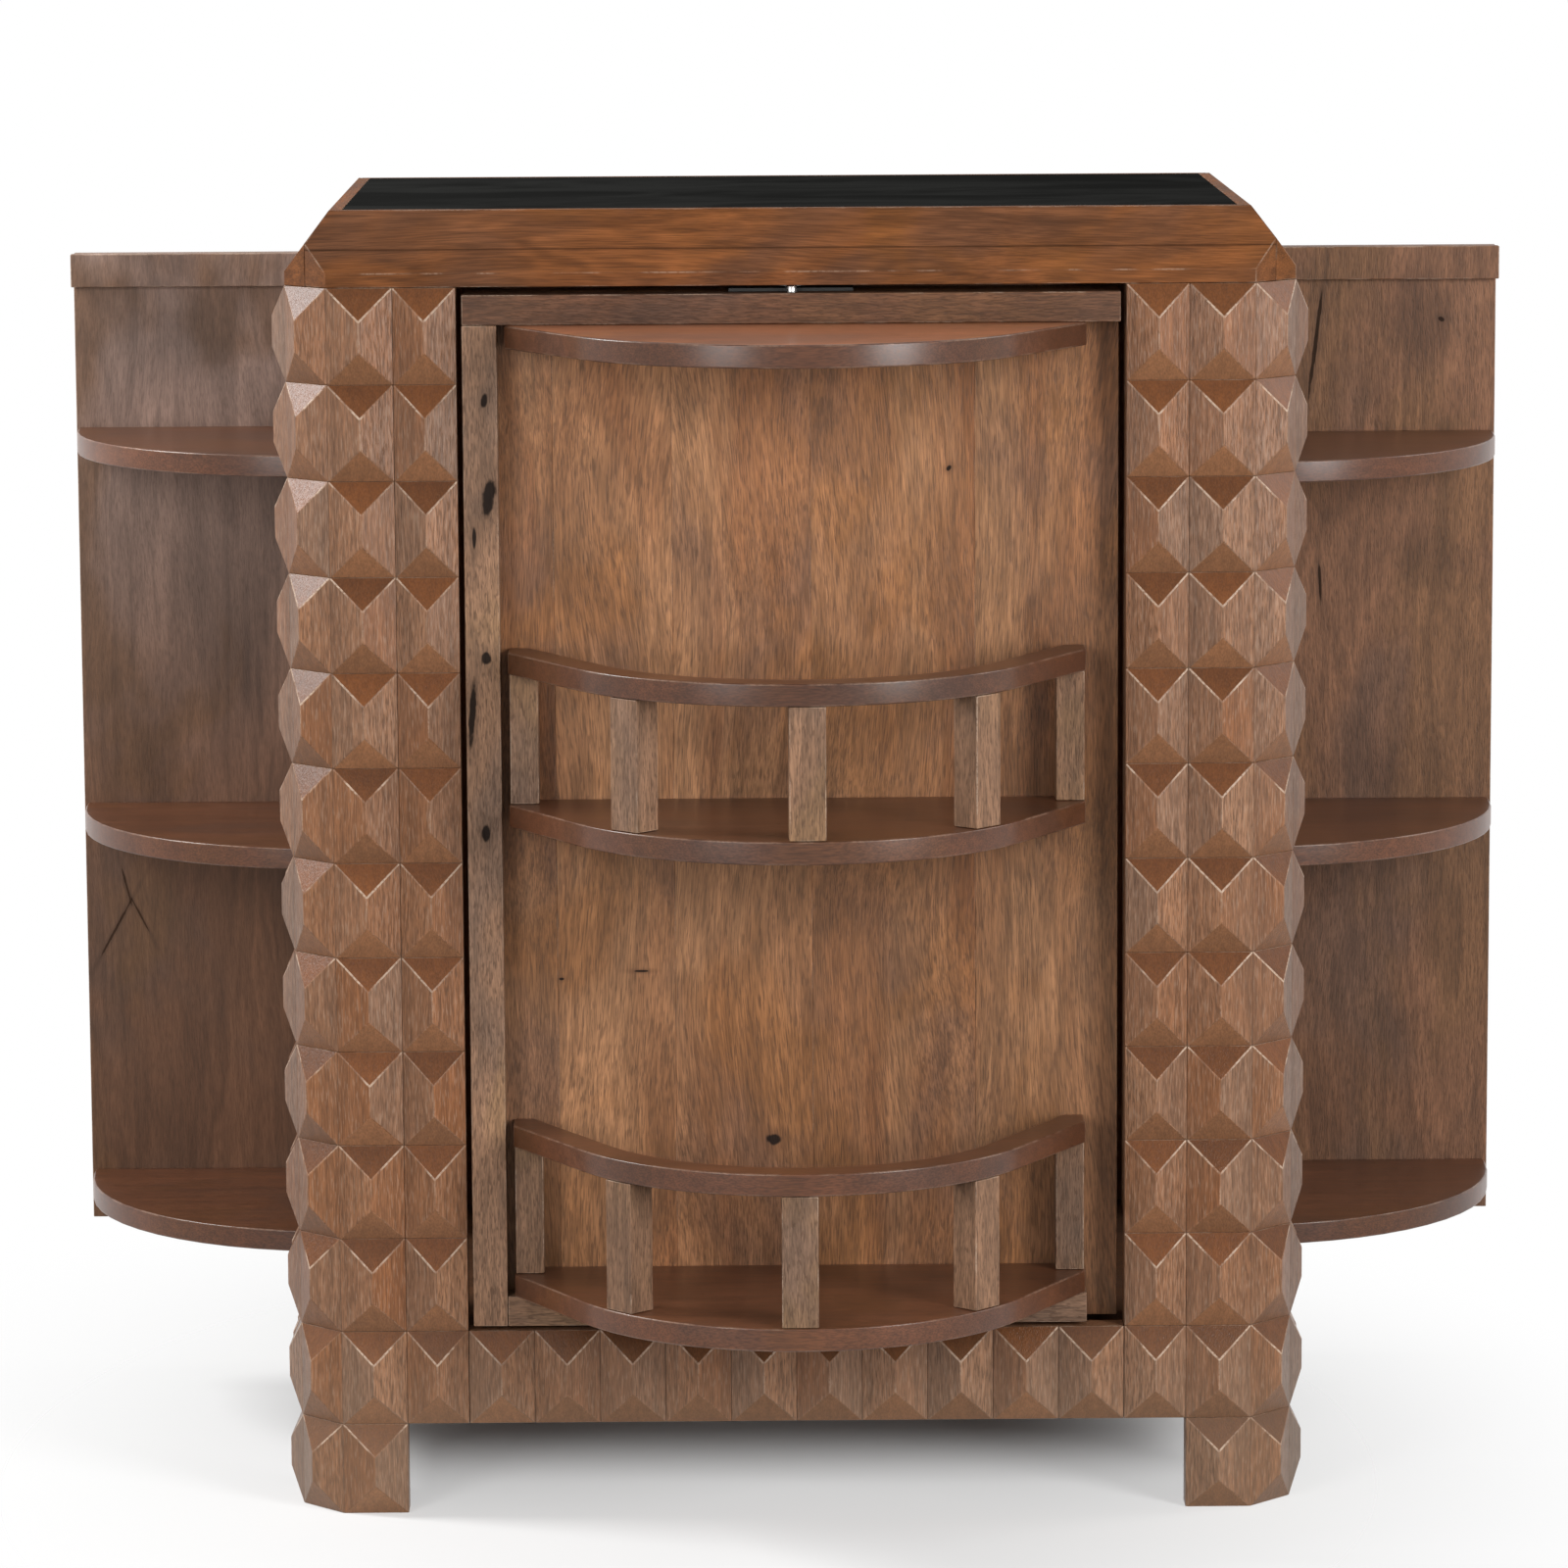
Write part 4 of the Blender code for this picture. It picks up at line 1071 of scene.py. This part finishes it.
class CABINET_OT_shelves(Operator):
    """Ease and finish the shelves, the gallery rails and the balusters"""

    bl_idname = "cabinet.shelves"
    bl_label = "Shelves and galleries"

    def execute(self, context):
        carving, edges, woods, _ = settings()
        draw = random.Random(carving.seed + 3)
        satin = board_wood(
            "shelf_satin_wood", woods.shelf, 1.35, "X", worn=woods.shelf_wear_and_highlight, **SHELF_LOOK)
        tint = scaled(woods.raw, 0.92)
        post = board_wood(
            "baluster_wood", tint, 1.3, wear_and_highlight_amount=0.4, wander=0.02, **FRAME_LOOK)
        names = [
            "canopy_shelf", "middle_shelf", "bottom_shelf", "middle_gallery_rail",
            "bottom_gallery_rail"]
        names += [
            f"{side}_wing_{level}_shelf"
            for side, _ in SIDES for level in ("bottom", "middle", "top")]
        tones = {node: draw.random() for node in names}
        tones["middle_gallery_rail"] = 0.0
        for node in names:
            # The canopy's upper face gets a much lighter tone of its own
            upper_tone = CANOPY_TOP if node == "canopy_shelf" else None
            eased_node(node, edges.shelf, satin, tones[node], upper_tone)
        for node in sorted(frame["nodes"]):
            if "_baluster_" in node:
                span = PALE_POSTS if node.startswith("middle") else DARK_POSTS
                eased_node(node, edges.frame, post, draw.uniform(*span))
        return {"FINISHED"}


class CABINET_OT_top(Operator):
    """Ease and finish the top block, its inset and the boards inside the carcass"""

    bl_idname = "cabinet.top"
    bl_label = "Top block and inner boards"

    def execute(self, context):
        _, edges, woods, _ = settings()
        low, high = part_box("top_front_rail")
        glue_line = marks([(0.0, low[2] + GLUE_LINE * (high[2] - low[2]), 0.0, 2000.0, 0.0)])
        across, deep = [
            board_wood(name, woods.top, 1.35, along, knots=knots, **TOP_LOOK)
            for name, along, knots in (
                ("top_level_wood", "X", glue_line), ("top_side_wood", "Y", ()))]
        for node, finish, tone in (
                ("top_front_rail", across, 0.55), ("top_rear_rail", across, 0.3),
                ("top_left_rail", deep, 0.4), ("top_right_rail", deep, 0.7)):
            eased_node(node, edges.top, finish, tone)
        sheet = black_inset("black_inset_sheet", woods.inset)
        eased_node("top_inset", INSET_EASE, sheet, 0.5)
        dark = scaled(woods.warm, 0.35)
        inner = board_wood(
            "inner_board_wood", dark, 1.4, rough=0.6, pores=0.8, bump=0.4, wear_and_highlight_amount=0.2)
        for node in ("back_panel", "floor_board", "top_board"):
            eased_node(node, edges.plank, inner, 0.4)
        return {"FINISHED"}


class CABINET_OT_pivots(Operator):
    """Finish the pivot pins, rods, plates and bushes, and set the catch on the unit"""

    bl_idname = "cabinet.pivots"
    bl_label = "Pivots and catch"

    def execute(self, context):
        woods = settings()[2]
        bright = metal("turned_steel", woods.steel, 0.28, 0.16)
        dark = metal("blackened_steel", woods.dark_steel, 0.46, 0.2)
        for node, thing in frame["nodes"].items():
            if "pivot_pin" in node or "pivot_rod" in node:
                give(thing, bright)
            elif "pivot_plate" in node or "bush" in node:
                give(thing, dark)
        low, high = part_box("revolving_top_rail")
        catch = turned(CATCH, (CATCH_X, low[1] + CATCH_INSET, high[2]))
        publish_bm("top_catch", catch, bright, "revolving_unit", [])
        return {"FINISHED"}


def turned(profile, place, steps=28):
    """Return a closed turned form; the profile is (radius, height) pairs from the foot up."""
    bm = bmesh.new()
    x, y, z = place
    turns = [math.tau * step / steps for step in range(steps)]
    rings = [
        [bm.verts.new((x + radius * math.cos(turn), y + radius * math.sin(turn), z + height))
         for turn in turns] for radius, height in profile]
    for under, over in zip(rings, rings[1:]):
        for step in range(steps):
            bm.faces.new((under[step - 1], under[step], over[step], over[step - 1]))
    bm.faces.new(list(reversed(rings[0])))
    bm.faces.new(rings[-1])
    layers(bm)
    bmesh.ops.recalc_face_normals(bm, faces=list(bm.faces))
    return bm


def give(thing, finish):
    """Put one finish in every material slot of a CAD node."""
    if not thing.material_slots:
        thing.data.materials.append(finish)
    for slot in thing.material_slots:
        slot.material = finish


# Stage

class CABINET_OT_stage(Operator):
    """Lay the floor, set the lights, the world and the camera"""

    bl_idname = "cabinet.stage"
    bl_label = "Studio stage"

    def execute(self, context):
        looks = settings()[3]
        scene = context.scene
        scene.view_settings.view_transform = "Standard"
        bm = bmesh.new()
        bmesh.ops.create_grid(bm, x_segments=1, y_segments=1, size=FLOOR_HALF)
        floor = object_of("studio_floor", bm)
        scene.collection.objects.link(floor)
        floor.data.materials.append(floor_paint(looks.floor))
        middle = (0.0, 0.0, 0.7)
        for light in (
                ("right_light", (2.6, -2.8, 1.5), middle, (1.2, 1.9), looks.key),
                ("left_light", (-2.0, -3.3, 1.5), middle, (1.2, 1.9), looks.key * 0.55),
                ("left_rim_light", (-2.1, 0.2, 1.95), (-0.2, 0.0, 0.75), (0.65, 1.0),
                 looks.rim * 0.80),
                ("right_rim_light", (2.6, 0.5, 2.2), middle, (0.8, 1.2), looks.rim * 0.25),
                ("front_light", (-0.2, -4.6, 2.4), (0.0, 0.0, 0.6), (2.6, 1.6), looks.fill)):
            add_light(*light)
        set_world(scene, looks.ambient)
        set_camera(scene)
        return {"FINISHED"}


def floor_paint(tint):
    """Make the pale floor, faintly mottled, that thins out into the white all round."""
    made, n, shader = start_material("studio_paint")
    place = n.place()
    mottle = n.times(n.noise(place, 1.3), 0.3)
    middle = n.vector("ADD", place, (0.09, 0.0, 0.0))
    reach = n.vector("LENGTH", n.vector("MULTIPLY", middle, (1.35, 1.0, 0.0)), out="Value")
    x, y, _ = n.split(place)
    inside = n.between(n.calc("ABSOLUTE", x), 0.44, 0.36)
    inside = n.times(inside, n.between(reach, 0.75, 0.50))
    under = n.times(n.between(y, -0.11, 0.12, 0.0, 0.42), inside)
    n.feed(shader, {
        "Base Color": n.blend(mottle, tint, scaled(tint, 0.98)), "Roughness": 0.85,
        "Specular IOR Level": 0.1,
        "Alpha": n.calc("ADD", n.between(reach, 1.20, 0.35, 0.0, 0.57), under)})
    return made


def add_light(name, place, aim, size, watts):
    """Add a soft rectangular light aimed at a point."""
    lamp = bpy.data.lights.new(name, "AREA")
    lamp.shape = "RECTANGLE"
    lamp.size, lamp.size_y = size
    lamp.energy = watts
    thing = bpy.data.objects.new(name, lamp)
    thing.location = place
    thing.rotation_euler = (Vector(aim) - Vector(place)).to_track_quat("-Z", "Y").to_euler()
    bpy.context.scene.collection.objects.link(thing)


def set_world(scene, ambient):
    """Light from all round, with a white background behind the object."""
    world = bpy.data.worlds.new("studio_world")
    scene.world = world
    world.use_nodes = True
    n = Nodes(world.node_tree)
    n.tree.nodes.clear()
    path = n.put("ShaderNodeLightPath").outputs
    seen = n.calc("ADD", path["Is Camera Ray"], path["Is Glossy Ray"])
    seen = n.calc("ADD", seen, path["Is Transmission Ray"])
    soft, white = [
        n.put("ShaderNodeBackground", {"Color": (1.0, 1.0, 1.0), "Strength": strength}).outputs[0]
        for strength in (ambient, 1.0)]
    mixed = n.put("ShaderNodeMixShader", {0: n.calc("MINIMUM", seen, 1.0), 1: soft, 2: white})
    n.put("ShaderNodeOutputWorld", {0: mixed.outputs[0]})


def set_camera(scene):
    """Set the camera where the photograph was taken from."""
    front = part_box("front_left_stile")[0][1] + settings()[0].relief
    ahead = Vector((
        math.sin(YAW) * math.cos(PITCH), math.cos(YAW) * math.cos(PITCH), -math.sin(PITCH)))
    right = Vector((math.cos(YAW), -math.sin(YAW), 0.0))
    down = ahead.cross(right)
    across = math.cos(ROLL) * right + math.sin(ROLL) * down
    under = math.cos(ROLL) * down - math.sin(ROLL) * right
    lens = bpy.data.cameras.new("photo_camera")
    lens.sensor_fit = "HORIZONTAL"
    lens.sensor_width = SENSOR
    lens.lens = FOCAL / FRAME_WIDTH * SENSOR
    lens.clip_end = 100.0
    camera = bpy.data.objects.new("photo_camera", lens)
    turn = Matrix((across, -under, -ahead)).transposed().to_4x4()
    camera.matrix_world = Matrix.Translation((EYE_X, front - EYE_AHEAD, EYE_Z)) @ turn
    scene.collection.objects.link(camera)
    scene.camera = camera


class CABINET_PT_panel(Panel):
    """List the cabinet's pieces and its settings"""

    bl_idname = "CABINET_PT_panel"
    bl_label = "Bar cabinet"
    bl_space_type = "VIEW_3D"
    bl_region_type = "UI"
    bl_category = "Cabinet"

    def draw(self, context):
        for operator in OPERATORS:
            self.layout.operator(operator.bl_idname)
        for group in settings():
            box = self.layout.box()
            for key in group.__annotations__:
                box.prop(group, key)


OPERATORS = (
    CABINET_OT_posts, CABINET_OT_wings, CABINET_OT_revolving_panel, CABINET_OT_shelves,
    CABINET_OT_top, CABINET_OT_pivots, CABINET_OT_stage)
GROUPS = (
    ("cabinet_carving", CarvingSizes), ("cabinet_edges", EdgeSizes),
    ("cabinet_woods", WoodColours), ("cabinet_stage", StageLooks))


def register():
    """Register the settings, the operators and the panel."""
    for name, group in GROUPS:
        bpy.utils.register_class(group)
        setattr(bpy.types.Scene, name, PointerProperty(type=group))
    for operator in OPERATORS:
        bpy.utils.register_class(operator)
    bpy.utils.register_class(CABINET_PT_panel)


def unregister():
    """Remove what register added."""
    bpy.utils.unregister_class(CABINET_PT_panel)
    for operator in reversed(OPERATORS):
        bpy.utils.unregister_class(operator)
    for name, group in reversed(GROUPS):
        delattr(bpy.types.Scene, name)
        bpy.utils.unregister_class(group)


def main():
    """Dress the cabinet."""
    register()
    for operator in OPERATORS:
        group, name = operator.bl_idname.split(".")
        getattr(getattr(bpy.ops, group), name)()


if __name__ == "__main__":
    main()
